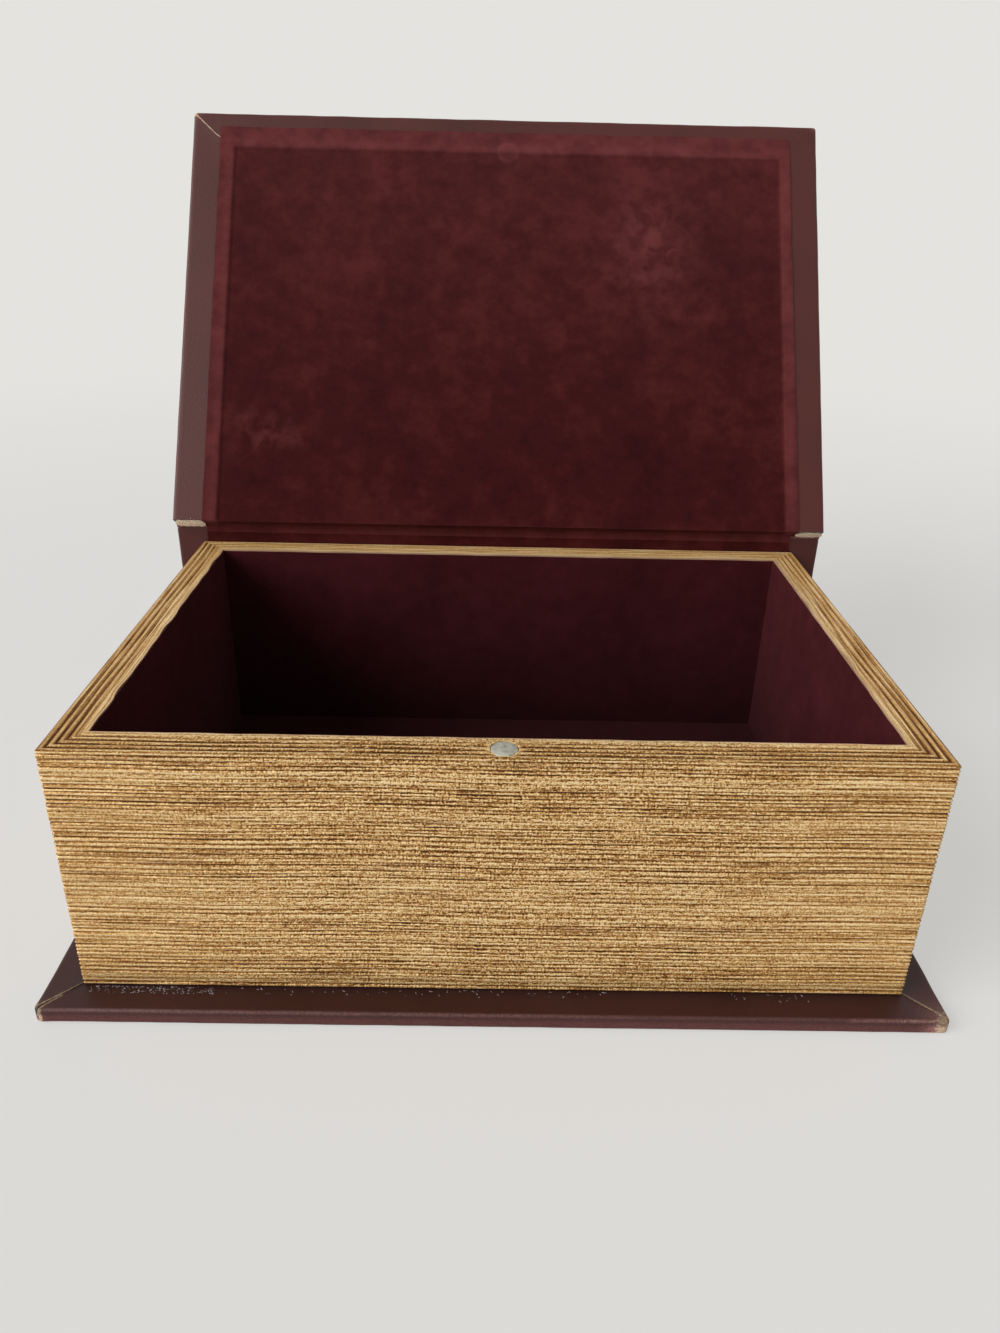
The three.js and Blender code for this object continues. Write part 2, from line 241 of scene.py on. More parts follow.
groove_depth = np.array(groove_depth)[:, None]
rows = len(row_at)

# Each groove fades in and out along the strip, least at the corners, where the paper is drawn tight.
# Each ridge has its own tone too, by how much ink it took.
to_corner = np.minimum(share_of, 1 - share_of) * 2 * TRAY_HALF[1 - side_of % 2]
slack = 1 - np.exp(-((to_corner / (40 * MM)) ** 2))
fading = ripples(along_of, walked, (15, 23, 37, 53), range(ridges + 1))[ridge_of]
fading = np.clip(1 + (0.26 * fading - 0.08) * slack, 0.4, 1.3)
inking = ripples(along_of, walked, (5, 9, 14, 22), range(1500, 1501 + ridges))
inking = (0.6 * inking + 0.55 * chance.normal(size=(ridges + 1, 1)))[ridge_of]
sunk = row_sinking * groove_depth * fading
groove_ink = row_sinking * (0.25 + 0.95 * groove_depth / DEEPEST_GROOVE) * fading
front_rim = (row_at > WALL_HEIGHT) & (row_at < WALL_HEIGHT + RIM_WIDTH - 2 * TRIMMED) & (side_of == 1)
groove_ink = np.where(front_rim, 0.04 + 1.3 * groove_ink, groove_ink)
groove_ink = groove_ink * np.where(row_at > WALL_HEIGHT, 1, 0.82 + 0.18 * slack)
other_rims = (row_at > WALL_HEIGHT) & (side_of != 1)
handled = 0.55 + 0.6 * ((1 - column_sign[:, 1]) / 2) ** 2
groove_ink = np.where(other_rims, handled * groove_ink + 0.13 * (side_of != 3), groove_ink)

# The ridges wander up and down a little, but not at the foot, the rim or the trimmed edge
wander = ripples(along_of, walked, (4, 7, 11), [900])[0][None, :]
edge_room = np.minimum(np.abs(row_at), np.abs(row_at - WALL_HEIGHT))
edge_room = np.minimum(edge_room, np.abs(row_at - WALL_HEIGHT - RIM_WIDTH))
WANDER = 0.22 * MM
travel = row_at + WANDER * wander * np.clip(edge_room / (4 * MM), 0, 1)

# The hand-trimmed inner edge: uneven, with a curl and a short place on the right-hand side
right_side = side_of == 2
from_back = share_of * 2 * TRAY_HALF[1]
trim = 0.2 * MM * (1 + ripples(along_of, walked, (21, 34, 47), [77])[0])
trim[side_of == 0] *= 1.1
trim[side_of == 1] *= 0.4
from_front = 2 * TRAY_HALF[1] - from_back
short_place = np.exp(-(((from_front - 86 * MM) / (9 * MM)) ** 2)) * right_side
trim = np.clip(trim + 0.75 * MM * short_place, 0, None)
CURL, CURL_AT, CURL_REACH, CURL_WIDTH = 0.4 * MM, 100 * MM, 34 * MM, 2.5 * MM
curl = CURL * np.where(right_side, np.clip(1 - np.abs(from_back - CURL_AT) / CURL_REACH, 0, 1), 0)
on_rim = np.clip(travel - WALL_HEIGHT, 0, None)
near_edge = np.clip((on_rim - RIM_WIDTH + CURL_WIDTH) / CURL_WIDTH, 0, 1)
in_from_face = np.where(travel > WALL_HEIGHT, on_rim - trim * near_edge, sunk)
height = np.where(travel > WALL_HEIGHT, RIM - sunk + curl * near_edge**2, TRAY_FOOT + travel)
arris_row = np.argmin(np.abs(row_at[:, 0] - WALL_HEIGHT))
in_from_face[arris_row] = ARRIS_ROUNDING
height[arris_row] = RIM - ARRIS_ROUNDING
CORNER_ROUNDED = 0.04 * MM
in_from_face = in_from_face + CORNER_ROUNDED * at_corner * (travel <= WALL_HEIGHT)

# The plain back of the paper closes the strip
inner_edge, level = in_from_face[-1], np.zeros(len(along_of))
in_from_face = np.vstack([in_from_face, inner_edge, level + PAGE_PAPER, level + PAGE_PAPER])
height = np.vstack([height, height[-1] - PAGE_PAPER, level + RIM - PAGE_PAPER, level + TRAY_FOOT])

# Raw paper shows at the foot, at the trimmed edge and a little before it
raw = np.zeros_like(height)
raw[rows - 2] = 0.35
raw[rows - 1 : rows + 1] = 1
raw[0] = 0.6
page_rows, page_columns = height.shape
flat = TRAY_CENTRE + column_sign[None] * (TRAY_HALF - in_from_face[..., None])
points = np.concatenate([flat, height[..., None]], axis=2).reshape(-1, 3)

# Bronze-printed paper, embossed: fine broken lines of gold on brown, with a soft gleam on the ridges.
# Its mesh gives what it reads: groove is the brown ink in the hollows, inking each ridge's own tone,
# slack how uneven the print is, and raw where bare paper shows.
gilt, surface = finish("gilt_paper_embossed")
edge_map = add(gilt, "UVMap", uv_map="edge_lengths").outputs["UV"]
LINE_HEIGHT, LINE_RUN, DASH_RUN = 0.33 * MM, 20 * MM, 2.0 * MM
BEAD_HEIGHT, BEAD_RUN, FLECK_HEIGHT = 0.36 * MM, 0.44 * MM, 1.1 * MM


def streaks(run, pitch, detail):
    """Noise stretched along the strip: its length and height are real ones."""
    stretched = add(gilt, "Mapping", {"Vector": edge_map, "Scale": (1 / run, 1 / pitch, 1.0)})
    made = add(gilt, "TexNoise", {"Vector": stretched.outputs[0], "Scale": 1.0, "Detail": detail})
    centred = add(gilt, "Math", {0: made.outputs["Fac"], 1: 0.5}, operation="SUBTRACT")
    return centred.outputs[0]


lines = streaks(LINE_RUN, LINE_HEIGHT, 1.0)
dashes = streaks(DASH_RUN, LINE_HEIGHT, 1.0)
beads = streaks(BEAD_RUN, BEAD_HEIGHT, 1.0)
flecks = streaks(BEAD_RUN, FLECK_HEIGHT, 1.0)
groove = add(gilt, "Attribute", attribute_name="groove").outputs["Fac"]
ink = add(gilt, "Attribute", attribute_name="inking").outputs["Fac"]
loose = add(gilt, "Attribute", attribute_name="slack").outputs["Fac"]
raw_edge = add(gilt, "Attribute", attribute_name="raw").outputs["Fac"]
broken = add(gilt, "Math", {0: dashes, 1: 1.3, 2: 0.03}, operation="MULTIPLY_ADD")
flecked = add(gilt, "Math", {0: flecks, 1: 1.2, 2: broken.outputs[0]}, operation="MULTIPLY_ADD")
beaded = add(gilt, "Math", {0: beads, 1: 1.9, 2: flecked.outputs[0]}, operation="MULTIPLY_ADD")
uneven = add(gilt, "Math", {0: beaded.outputs[0], 1: loose}, operation="MULTIPLY")
wear = add(gilt, "Math", {0: groove, 1: 0.75, 2: 0.12}, operation="MULTIPLY_ADD")
for part, weight in ((ink, 0.06), (lines, 1.1), (uneven.outputs[0], 0.95)):
    wear = add(gilt, "Math", {0: part, 1: weight, 2: wear.outputs[0]}, operation="MULTIPLY_ADD")
gold = add(
    gilt,
    "ValToRGB",
    {"Fac": wear.outputs[0]},
    stops=[(0.0, "#f6dba6"), (1.0, "#482a0a"), (0.25, "#d8ad6c"), (0.5, "#a37339"), (0.75, "#74491d")],
)
dull = add(gilt, "MapRange", {"Value": ink, "From Min": 0.8, "From Max": 2.0, "To Max": 0.5})
banded = add(
    gilt, "Mix", {0: dull.outputs[0], 6: gold.outputs["Color"], 7: linear("#86644c")}, data_type="RGBA"
)
trimmed = add(
    gilt, "Mix", {0: raw_edge, 6: banded.outputs[2], 7: linear("#c8a080")}, data_type="RGBA"
)
relief = add(gilt, "Bump", {"Height": wear.outputs[0], "Distance": -0.08 * MM, "Strength": 0.7})
gloss = add(gilt, "MapRange", {"Value": wear.outputs[0], "To Min": 0.4, "To Max": 0.7})
shine = add(gilt, "MapRange", {"Value": wear.outputs[0], "To Min": 0.5, "To Max": 0.1})
wire(
    surface,
    {
        "Base Color": trimmed.outputs[2],
        "Normal": relief.outputs["Normal"],
        "Roughness": gloss.outputs[0],
        "Specular IOR Level": shine.outputs[0],
        "Metallic": 0.3,
    },
)

page_edges = new_piece(
    "page_edges", points, quads(page_rows, page_columns, rows_meet=True, columns_meet=True), gilt
)
plain_back = np.zeros((3, page_columns))
mark(page_edges, "groove", np.vstack([groove_ink, plain_back]))
mark(page_edges, "raw", raw)
mark(page_edges, "inking", np.vstack([inking, inking[-3:]]))
mark(page_edges, "slack", np.vstack([np.where(other_rims, 0.25, 0.52 + 0.43 * slack), plain_back]))

# The map that the print follows: real lengths along the strip and across it, drawn in at the mitres
travelled = np.append(row_at[:, 0], row_at[-1, 0] + np.array([1, 2, 3]) * MM)
side_length = 2 * TRAY_HALF[1 - side_of % 2]
side_begin = along_of - share_of * side_length
next_share = np.append(share_of[1:], 0)
next_share[next_share == 0] = 1
mitre = np.clip(travelled - WALL_HEIGHT, 0, RIM_WIDTH)[:, None]
u_here = side_begin + mitre + share_of * (side_length - 2 * mitre)
u_next = side_begin + mitre + next_share * (side_length - 2 * mitre)
u_above, u_above_next = np.roll(u_here, -1, 0), np.roll(u_next, -1, 0)
v_here = np.repeat(travelled[:, None], page_columns, 1)
v_above = np.roll(v_here, -1, 0)
corners = [(u_here, v_here), (u_next, v_here), (u_above_next, v_above), (u_above, v_above)]
edge_lengths = np.stack([np.stack(pair, -1) for pair in corners], 2).reshape(-1)
length_map = page_edges.data.uv_layers.new(name="edge_lengths")
length_map.data.foreach_set("uv", edge_lengths.astype(np.float32))

# The hole for the magnet is punched through the paper
magnet_low, magnet_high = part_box("tray_magnet")
MAGNET_CENTRE = (magnet_low + magnet_high) / 2
MAGNET_RADIUS = (magnet_high.x - magnet_low.x) / 2
PUNCH_RADIUS = MAGNET_RADIUS + 0.16 * MM


def turned(name, profile, material, around=64):
    """A turned solid: profile gives radius and height from the foot of its axis to the top."""
    made = [(0, 0, profile[0][1])]
    for radius, level in profile:
        for i in range(around):
            angle = 2 * math.pi * i / around
            made.append((radius * math.cos(angle), radius * math.sin(angle), level))
    made.append((0, 0, profile[-1][1]))
    rings = quads(len(profile), around, columns_meet=True)
    faces = [tuple(1 + i for i in face) for face in rings]
    last = 1 + (len(profile) - 1) * around
    for i in range(around):
        faces.append((0, 1 + (i + 1) % around, 1 + i))
        faces.append((len(made) - 1, last + i, last + (i + 1) % around))
    return new_piece(name, made, faces, material)


def keep_shape(piece, crease=45):
    """Puts the result of a piece's modifiers in its mesh, with edges sharp from the crease angle on."""
    evaluated = piece.evaluated_get(bpy.context.evaluated_depsgraph_get())
    mesh = bpy.data.meshes.new_from_object(evaluated)
    piece.modifiers.clear()
    piece.data = mesh
    mesh.set_sharp_from_angle(angle=math.radians(crease))


punch = turned("punch", [(PUNCH_RADIUS, -2 * MM), (PUNCH_RADIUS, 2 * MM)], gilt)
punch.location = (MAGNET_CENTRE.x, MAGNET_CENTRE.y, RIM)
punched = page_edges.modifiers.new("punched", "BOOLEAN")
punched.object = punch
punched.operation = "DIFFERENCE"
punched.solver = "EXACT"
keep_shape(page_edges, 80)
bpy.data.objects.remove(punch)
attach(page_edges, "case")
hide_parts("page_edge_paper")

# Velvet lining
# Flocked paper, a short nylon pile on paper, is cut to each wall and to the floor and glued in. It
# bubbles a little between the glue, and its cut top edges come up to the trimmed page paper.
LINING = 0.4 * MM
WRINKLE = 0.14 * MM


# Flocked paper: a soft nap that scatters light at its tips and drinks it elsewhere. The nap is drawn
# in tufts of 0.35 mm, coarser than real flock, so that it shows.
CLOUD, STROKE, CRUSHED, TUFT = 30 * MM, 6 * MM, 5 * MM, 0.35 * MM


def flocked(name, base, light, dark, worn):
    """Flocked paper in four tones. Where a mesh has them, its wear, its blotches and painted shade low in the
    tray change its tone; on the lid the wear carries painted sheen and a painted highlight as well.
    """
    material, surface = finish(name)
    place = add(material, "TexCoord").outputs["Object"]
    clouds = add(material, "TexNoise", {"Vector": place, "Scale": 1 / CLOUD, "Detail": 3.0})
    strokes = add(
        material, "TexNoise", {"Vector": place, "Scale": 1 / STROKE, "Detail": 4.0, "Roughness": 0.6}
    )
    pile = add(material, "TexNoise", {"Vector": place, "Scale": 1 / TUFT, "Detail": 2.0})
    brushed = add(material, "Mix", {0: 0.5, 2: clouds.outputs["Fac"], 3: strokes.outputs["Fac"]})
    tones = add(
        material,
        "ValToRGB",
        {"Fac": brushed.outputs[0]},
        stops=[(0.36, dark), (0.66, light), (0.5, base)],
    )
    uneven = add(
        material,
        "MapRange",
        {"Value": strokes.outputs["Fac"], "From Min": 0.35, "From Max": 0.65, "To Min": 0.75, "To Max": 1.25},
    )
    rubbed_and_lit = add(material, "Attribute", attribute_name="rubbed_and_lit").outputs["Fac"]
    thinned = add(material, "Math", {0: rubbed_and_lit, 1: uneven.outputs[0]}, operation="MULTIPLY")
    crushing = add(
        material, "TexNoise", {"Vector": place, "Scale": 1 / CRUSHED, "Detail": 4.0, "Distortion": 0.5}
    )
    blotches = add(
        material,
        "MapRange",
        {"Value": crushing.outputs["Fac"], "From Min": 0.42, "From Max": 0.72, "To Max": 0.55},
    )
    blotched = add(material, "Attribute", attribute_name="blotched").outputs["Fac"]
    # Towards the worn tone: wear, and on the lid also painted sheen and a painted highlight at the step
    bare = add(
        material,
        "Math",
        {0: blotched, 1: blotches.outputs[0], 2: thinned.outputs[0]},
        operation="MULTIPLY_ADD",
        use_clamp=True,
    )
    faded_and_lit = add(
        material, "Mix", {0: bare.outputs[0], 6: tones.outputs["Color"], 7: linear(worn)}, data_type="RGBA"
    )
    # Painted shade: the tone darkens towards this near-black where the mesh is low in the tray
    painted_depth_shade = add(material, "Attribute", attribute_name="painted_depth_shade").outputs["Fac"]
    shaded = add(material, "Mix", {0: painted_depth_shade, 6: faded_and_lit.outputs[2], 7: linear("#1a0709")}, data_type="RGBA")
    speck = add(material, "MapRange", {"Value": pile.outputs["Fac"], "To Min": 0.8, "To Max": 1.2})
    napped = add(
        material,
        "Mix",
        {0: 1.0, 6: shaded.outputs[2], 7: speck.outputs[0]},
        data_type="RGBA",
        blend_type="MULTIPLY",
    )
    relief = add(
        material, "Bump", {"Height": pile.outputs["Fac"], "Distance": 0.15 * MM, "Strength": 0.6}
    )
    wire(
        surface,
        {
            "Base Color": napped.outputs[2],
            "Normal": relief.outputs["Normal"],
            "Roughness": 0.95,
            "Specular IOR Level": 0.08,
            "Sheen Weight": 0.16,
            "Sheen Roughness": 0.4,
            "Sheen Tint": linear("#b8686c"),
        },
    )
    return material


lining_paper = flocked("velvet_paper_flocked_dark", "#401519", "#491a20", "#371013", "#552228")


def stretch(start, end, step):
    """Even places from start to end, about a step apart."""
    return np.linspace(start, end, max(2, round(abs(end - start) / step) + 1))


def thicken(piece, thickness, offset=-1):
    """Gives a sheet its thickness, behind its face unless the offset says otherwise."""
    sheet = piece.modifiers.new("thickness", "SOLIDIFY")
    sheet.thickness = thickness
    sheet.offset = offset
    keep_shape(piece)


def lining_sheet(name, node, axis, way):
    """A lining sheet in place of a CAD one. It faces along an axis, up it (1) or down it (-1)."""
    lowest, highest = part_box(node)
    across = [i for i in range(3) if i != axis]
    if (axis == 1) == (way > 0):
        across.reverse()
    first = stretch(lowest[across[0]], highest[across[0]], 2 * MM)
    second = stretch(lowest[across[1]], highest[across[1]], 2 * MM)
    face = highest[axis] if way > 0 else lowest[axis]
    made, painted_depth_shade = [], []
    for b in second:
        for a in first:
            point = Vector((0, 0, 0))
            point[across[0]], point[across[1]], point[axis] = a, b, face
            edge_room = min(a - first[0], first[-1] - a, b - second[0], second[-1] - b)
            wave = noise.noise(point / (17 * MM)) + 0.5 * noise.noise(point / (6 * MM))
            point[axis] -= way * WRINKLE * (0.5 + 0.5 * wave) * min(1, edge_room / (4 * MM))
            made.append(point)
            # Painted shade, darker down the walls and darkest on the floor
            painted_depth_shade.append(0.8 * min(1, max(0, (RIM - point.z) / WALL_HEIGHT)) ** 1.3)
    sheet = new_piece(name, made, quads(len(second), len(first)), lining_paper)
    mark(sheet, "painted_depth_shade", painted_depth_shade)
    thicken(sheet, LINING - WRINKLE)
    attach(sheet, "case")
    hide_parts(node)


lining_sheet("velvet_front", "lining_front", 1, 1)
lining_sheet("velvet_back", "lining_back", 1, -1)
lining_sheet("velvet_left", "lining_left", 0, 1)
lining_sheet("velvet_right", "lining_right", 0, -1)
lining_sheet("velvet_floor", "lining_floor", 2, 1)

# Magnets
# A nickel-plated neodymium disc is pressed into the front rim, flush with the paper, and a second
# one lies in the lid's board under the endpaper. The plating is dull and scratched from closing.

# Nickel plate, rubbed: a greyish yellow-white gleam, broken by fine slanting scratches and dull spots
nickel, surface = finish("nickel_plate_rubbed")
place = add(nickel, "TexCoord").outputs["Object"]
SCRATCH_RUN, SCRATCH_WIDTH, DULL_SPOT = 3 * MM, 0.3 * MM, 1.6 * MM
stretched = add(
    nickel,
    "Mapping",
    {
        "Vector": place,
        "Scale": (1 / SCRATCH_RUN, 1 / SCRATCH_WIDTH, 1 / SCRATCH_RUN),
        "Rotation": (0, 0, 0.5),
    },
)
scratches = add(nickel, "TexNoise", {"Vector": stretched.outputs[0], "Scale": 1.0, "Detail": 2.0})
dulling = add(nickel, "TexNoise", {"Vector": place, "Scale": 1 / DULL_SPOT, "Detail": 4.0})
wear = add(
    nickel,
    "Math",
    {0: scratches.outputs["Fac"], 1: 0.3, 2: dulling.outputs["Fac"]},
    operation="MULTIPLY_ADD",
)
greys = add(
    nickel,
    "ValToRGB",
    {"Fac": wear.outputs[0]},
    stops=[(0.45, "#86877b"), (0.9, "#cfcfc2"), (0.6, "#b4b3a4")],
)
gloss = add(nickel, "MapRange", {"Value": dulling.outputs["Fac"], "To Min": 0.4, "To Max": 0.7})
wire(surface, {"Base Color": greys.outputs["Color"], "Roughness": gloss.outputs[0], "Metallic": 0.45})

# Outline of the disc from its axis: a small bevel at the foot and a rounder one at the face
magnet_height = magnet_high.z - magnet_low.z
magnet_profile = [
    (MAGNET_RADIUS - 0.2 * MM, 0),
    (MAGNET_RADIUS, 0.2 * MM),
    (MAGNET_RADIUS, magnet_height - 0.25 * MM),
    (MAGNET_RADIUS - 0.08 * MM, magnet_height - 0.08 * MM),
    (MAGNET_RADIUS - 0.25 * MM, magnet_height),
    (MAGNET_RADIUS * 0.5, magnet_height),
]
tray_disc = turned("tray_magnet_disc", magnet_profile, nickel)
tray_disc.location = (MAGNET_CENTRE.x, MAGNET_CENTRE.y, magnet_low.z)
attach(tray_disc, "case")
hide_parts("tray_magnet")
dress(nickel, "lid_magnet")

# Cover boards
# Three greyboards, 3 mm thick, stiffen the base, the spine and the lid. They are cut from pressed
# waste paper, so a worn edge shows soft grey-brown layers.

# Greyboard, die-cut: a matt grey-brown felt with paler flakes of the pulped paper
greyboard, surface = finish("greyboard_cut")
place = add(greyboard, "TexCoord").outputs["Object"]
FLAKE = 0.8 * MM
flakes = add(greyboard, "TexNoise", {"Vector": place, "Scale": 1 / FLAKE, "Detail": 5.0})
greys = add(
    greyboard,
    "ValToRGB",
    {"Fac": flakes.outputs["Fac"]},
    stops=[(0.3, "#6f6555"), (0.7, "#a89b86"), (0.5, "#8f8574")],
)
relief = add(greyboard, "Bump", {"Height": flakes.outputs["Fac"], "Distance": 0.1 * MM, "Strength": 0.6})
wire(surface, {"Base Color": greys.outputs["Color"], "Normal": relief.outputs["Normal"], "Roughness": 0.9})
dress(greyboard, "base_board", "spine_board", "lid_board")

# Leatherette
# Paper-backed leatherette with a fine pressed grain is drawn round each board and turned in on its
# inner face. At the corners one turn-in laps the other along a mitre, whose cut edge shows tan.
COVER = 4 * MM
LEATHERETTE = 0.4 * MM
EDGE_ROUNDING = 0.9 * MM
CORNER_ROUNDING = 1.15 * MM
TURN_IN = 14 * MM
SEAM_LAP = 0.22 * MM

# Leatherette, calendered and grained: a low even sheen broken by pebbles, rubbed pale on the arrises,
# with a painted highlight along the base's front arris. Its meshes give what it reads: how worn it is
# and where that highlight is painted, where its cut or its backing shows, where a seam gapes, painted
# dark there as shade, and where it is soiled, with painted shade on the base's lip near the tray.
leatherette, surface = finish("leatherette_grained")
place = add(leatherette, "TexCoord").outputs["Object"]
PEBBLE, FINE_GRAIN, RUB = 0.55 * MM, 0.3 * MM, 0.5 * MM
pebbles = add(leatherette, "TexVoronoi", {"Vector": place, "Scale": 1 / PEBBLE}, feature="SMOOTH_F1")
fine = add(leatherette, "TexNoise", {"Vector": place, "Scale": 1 / FINE_GRAIN, "Detail": 2.0})
cloud = add(leatherette, "TexNoise", {"Vector": place, "Scale": 1 / CLOUD, "Detail": 4.0})
handling = add(
    leatherette, "TexNoise", {"Vector": place, "Scale": 1 / RUB, "Detail": 4.0, "Roughness": 0.65}
)
browns = add(
    leatherette,
    "ValToRGB",
    {"Fac": cloud.outputs["Fac"]},
    stops=[(0.3, "#411813"), (0.7, "#4c1e19"), (0.5, "#471b16")],
)
scuff_and_highlight = add(leatherette, "Attribute", attribute_name="scuff_and_highlight").outputs["Fac"]
scuff_highlight_noise = add(
    leatherette,
    "MapRange",
    {"Value": handling.outputs["Fac"], "From Min": 0.36, "From Max": 0.64, "To Min": 0.25},
)
scuffed_and_lit = add(
    leatherette, "Math", {0: scuff_and_highlight, 1: scuff_highlight_noise.outputs[0]}, operation="MULTIPLY", use_clamp=True
)
# Pale where worn; along the base's front arris this pale colour is also a painted highlight
rubbed_and_lit = add(
    leatherette,
    "Mix",
    {0: scuffed_and_lit.outputs[0], 6: browns.outputs["Color"], 7: linear("#a8746e")},
    data_type="RGBA",
)
raw_cut = add(leatherette, "Attribute", attribute_name="raw").outputs["Fac"]
fibre_tan = add(
    leatherette,
    "ValToRGB",
    {"Fac": handling.outputs["Fac"]},
    stops=[(0.35, "#8f7059"), (0.65, "#dac4a8"), (0.5, "#b9997c")],
)
raw_noise = add(leatherette, "Math", {0: handling.outputs["Fac"], 1: 0.5}, operation="SUBTRACT")
raw_sum = add(
    leatherette, "Math", {0: raw_noise.outputs[0], 1: 0.8, 2: raw_cut}, operation="MULTIPLY_ADD"
)
raw_part = add(leatherette, "MapRange", {"Value": raw_sum.outputs[0], "From Min": 0.42, "From Max": 0.62})
cut_open = add(
    leatherette,
    "Mix",
    {0: raw_part.outputs[0], 6: rubbed_and_lit.outputs[2], 7: fibre_tan.outputs["Color"]},
    data_type="RGBA",
)
# Where a seam gapes it is painted near-black: painted shade in the gap
gap = add(leatherette, "Attribute", attribute_name="gap").outputs["Fac"]
gap_shade_part = add(leatherette, "MapRange", {"Value": gap, "From Min": 0.45, "From Max": 0.75})
gap_shaded = add(
    leatherette,
    "Mix",
    {0: gap_shade_part.outputs[0], 6: cut_open.outputs[2], 7: linear("#1d1210")},
    data_type="RGBA",
)
# Darker where soiled, and painted shade on the base's lip, darkest close to the tray
grime_and_shade = add(leatherette, "Attribute", attribute_name="grime_and_shade").outputs["Fac"]
grimy_and_shaded = add(
    leatherette, "Mix", {0: grime_and_shade, 6: gap_shaded.outputs[2], 7: linear("#1f1010")}, data_type="RGBA"
)
grain_height = add(
    leatherette,
    "Math",
    {0: fine.outputs["Fac"], 1: 0.35, 2: pebbles.outputs["Distance"]},
    operation="MULTIPLY_ADD",
)
relief = add(
    leatherette, "Bump", {"Height": grain_height.outputs[0], "Distance": 0.05 * MM, "Strength": 0.5}
)
gloss = add(
    leatherette,
    "MapRange",
    {"Value": cloud.outputs["Fac"], "From Min": 0.3, "From Max": 0.7, "To Min": 0.42, "To Max": 0.55},
)
wire(
    surface,
    {
        "Base Color": grimy_and_shaded.outputs[2],
        "Normal": relief.outputs["Normal"],
        "Roughness": gloss.outputs[0],
        "Specular IOR Level": 0.34,
    },
)

# A board's four corners, anticlockwise from the left one at the back, and the way that each side faces
BOARD_CORNERS = ((-1, 1), (-1, -1), (1, -1), (1, 1))
SIDE_FACING = ((-1, 0), (0, -1), (1, 0), (0, 1))


def skin_section(reach):
    """The leatherette's outer face in section: (in from the edge, height, share of arris)."""
    turned_in = [14, 13.2, 12, 10.6, 9.2, 7.8, 6.5, 5.3, 4.2, 3.2, 2.4, 1.8]
    outer_face = [2, 3.4, 6, 11, 18, 27, 36, 48, 62, 78, 92]
    rounding = []
    for i in range(6):
        angle = math.radians(18 * i)
        sunk = EDGE_ROUNDING * (1 - math.cos(angle))
        rounding.append((EDGE_ROUNDING * (1 - math.sin(angle)), sunk, math.sin(2 * angle)))
    line = [(d * MM, COVER, 0) for d in turned_in]
    line += [(away, COVER - sunk, arris) for away, sunk, arris in rounding]
    line.append((0, COVER / 2, 0))
    line += rounding[::-1]
    line += [(d * MM, 0, 0) for d in outer_face if d * MM < reach - 2 * MM]
    line.append((reach, 0, 0))
    return line


def skin_columns(width, depth, closed):
    """Columns of leatherette round a board, along its sides and round its corners: the kind, which
    side or corner it is, and the share of the way along it."""
    columns = []
    for side in range(4 if closed else 3):
        length = depth if side % 2 == 0 else width
        ends = np.array([0, 0.3, 0.8, 1.6, 3.0]) * MM / length
        even = stretch(4.6 * MM / length, 1 - 4.6 * MM / length, 1.9 * MM / length)
        for share in [*ends, *even, *(1 - ends[::-1])]:
            columns.append(("side", side, share))
        if closed or side < 2:
            columns += [("corner", side + 1, i / 8) for i in range(1, 8)]
    return columns


# How far from a seam its gape and the lap of one turn-in over the other reach, and how wide its cut is
GAPE_REACH, LAP_REACH, CUT_WIDTH = 2.5 * MM, 4 * MM, 0.35 * MM


def across_seam(corner):
    """The way across a corner's mitre."""
    sx, sy = BOARD_CORNERS[corner]
    return Vector((-sy, sx, 0)).normalized()


def seam_by_side(seam, corner, side, distance, away, inside):
    """What a corner's seam does to a side at a distance from it: (shift, lift, backing shown)."""
    opened = max(0, 1 - away / seam["gape_run"])
    gape = seam["gape"] * opened * math.exp(-distance / GAPE_REACH)
    shift = across_seam(corner) * gape / 2 * (1 if corner == side else -1)
    lift = SEAM_LAP * math.exp(-distance / LAP_REACH) if inside and side % 2 == 0 else 0
    cut = distance < CUT_WIDTH and (side % 2 == 0 or gape > 0.1 * MM)
    return shift, lift, seam["raw"] * math.exp(-away / seam["raw_run"]) * cut


def seam_at_corner(seam, corner, share, away, level):
    """What a corner's seam does across it: (shift, lift, backing shown, painted shade in its gap)."""
    opened = max(0, 1 - away / seam["gape_run"])
    gape = seam["gape"] * opened
    shift = across_seam(corner) * gape / 2 * (2 * share - 1)
    in_seam = 1 - abs(2 * share - 1)
    # The open seam is painted dark as shade, most at its middle
    dark = min(1, gape / (0.5 * MM)) * in_seam
    if level > COVER / 2:
        lap = 1 - share if corner == 1 else share
        lift = SEAM_LAP * lap - 0.5 * gape * in_seam
        return shift, lift, seam["raw"] * math.exp(-away / seam["raw_run"]), dark * 1.3
    return shift, 0, seam["raw"] * opened * 0.8 * (1 - in_seam), dark * (level / COVER)


def corner_wear(point, half, seams):
    """How much wear a point has from the worn corners."""
    worn = 0.0
    for corner, seam in seams.items():
        sx, sy = BOARD_CORNERS[corner]
        tip = Vector((sx * half[0], sy * half[1], 0))
        near = math.exp(-(((point - tip).length / seam["worn_run"]) ** 2))
        worn = max(worn, near * seam["worn"])
    return worn


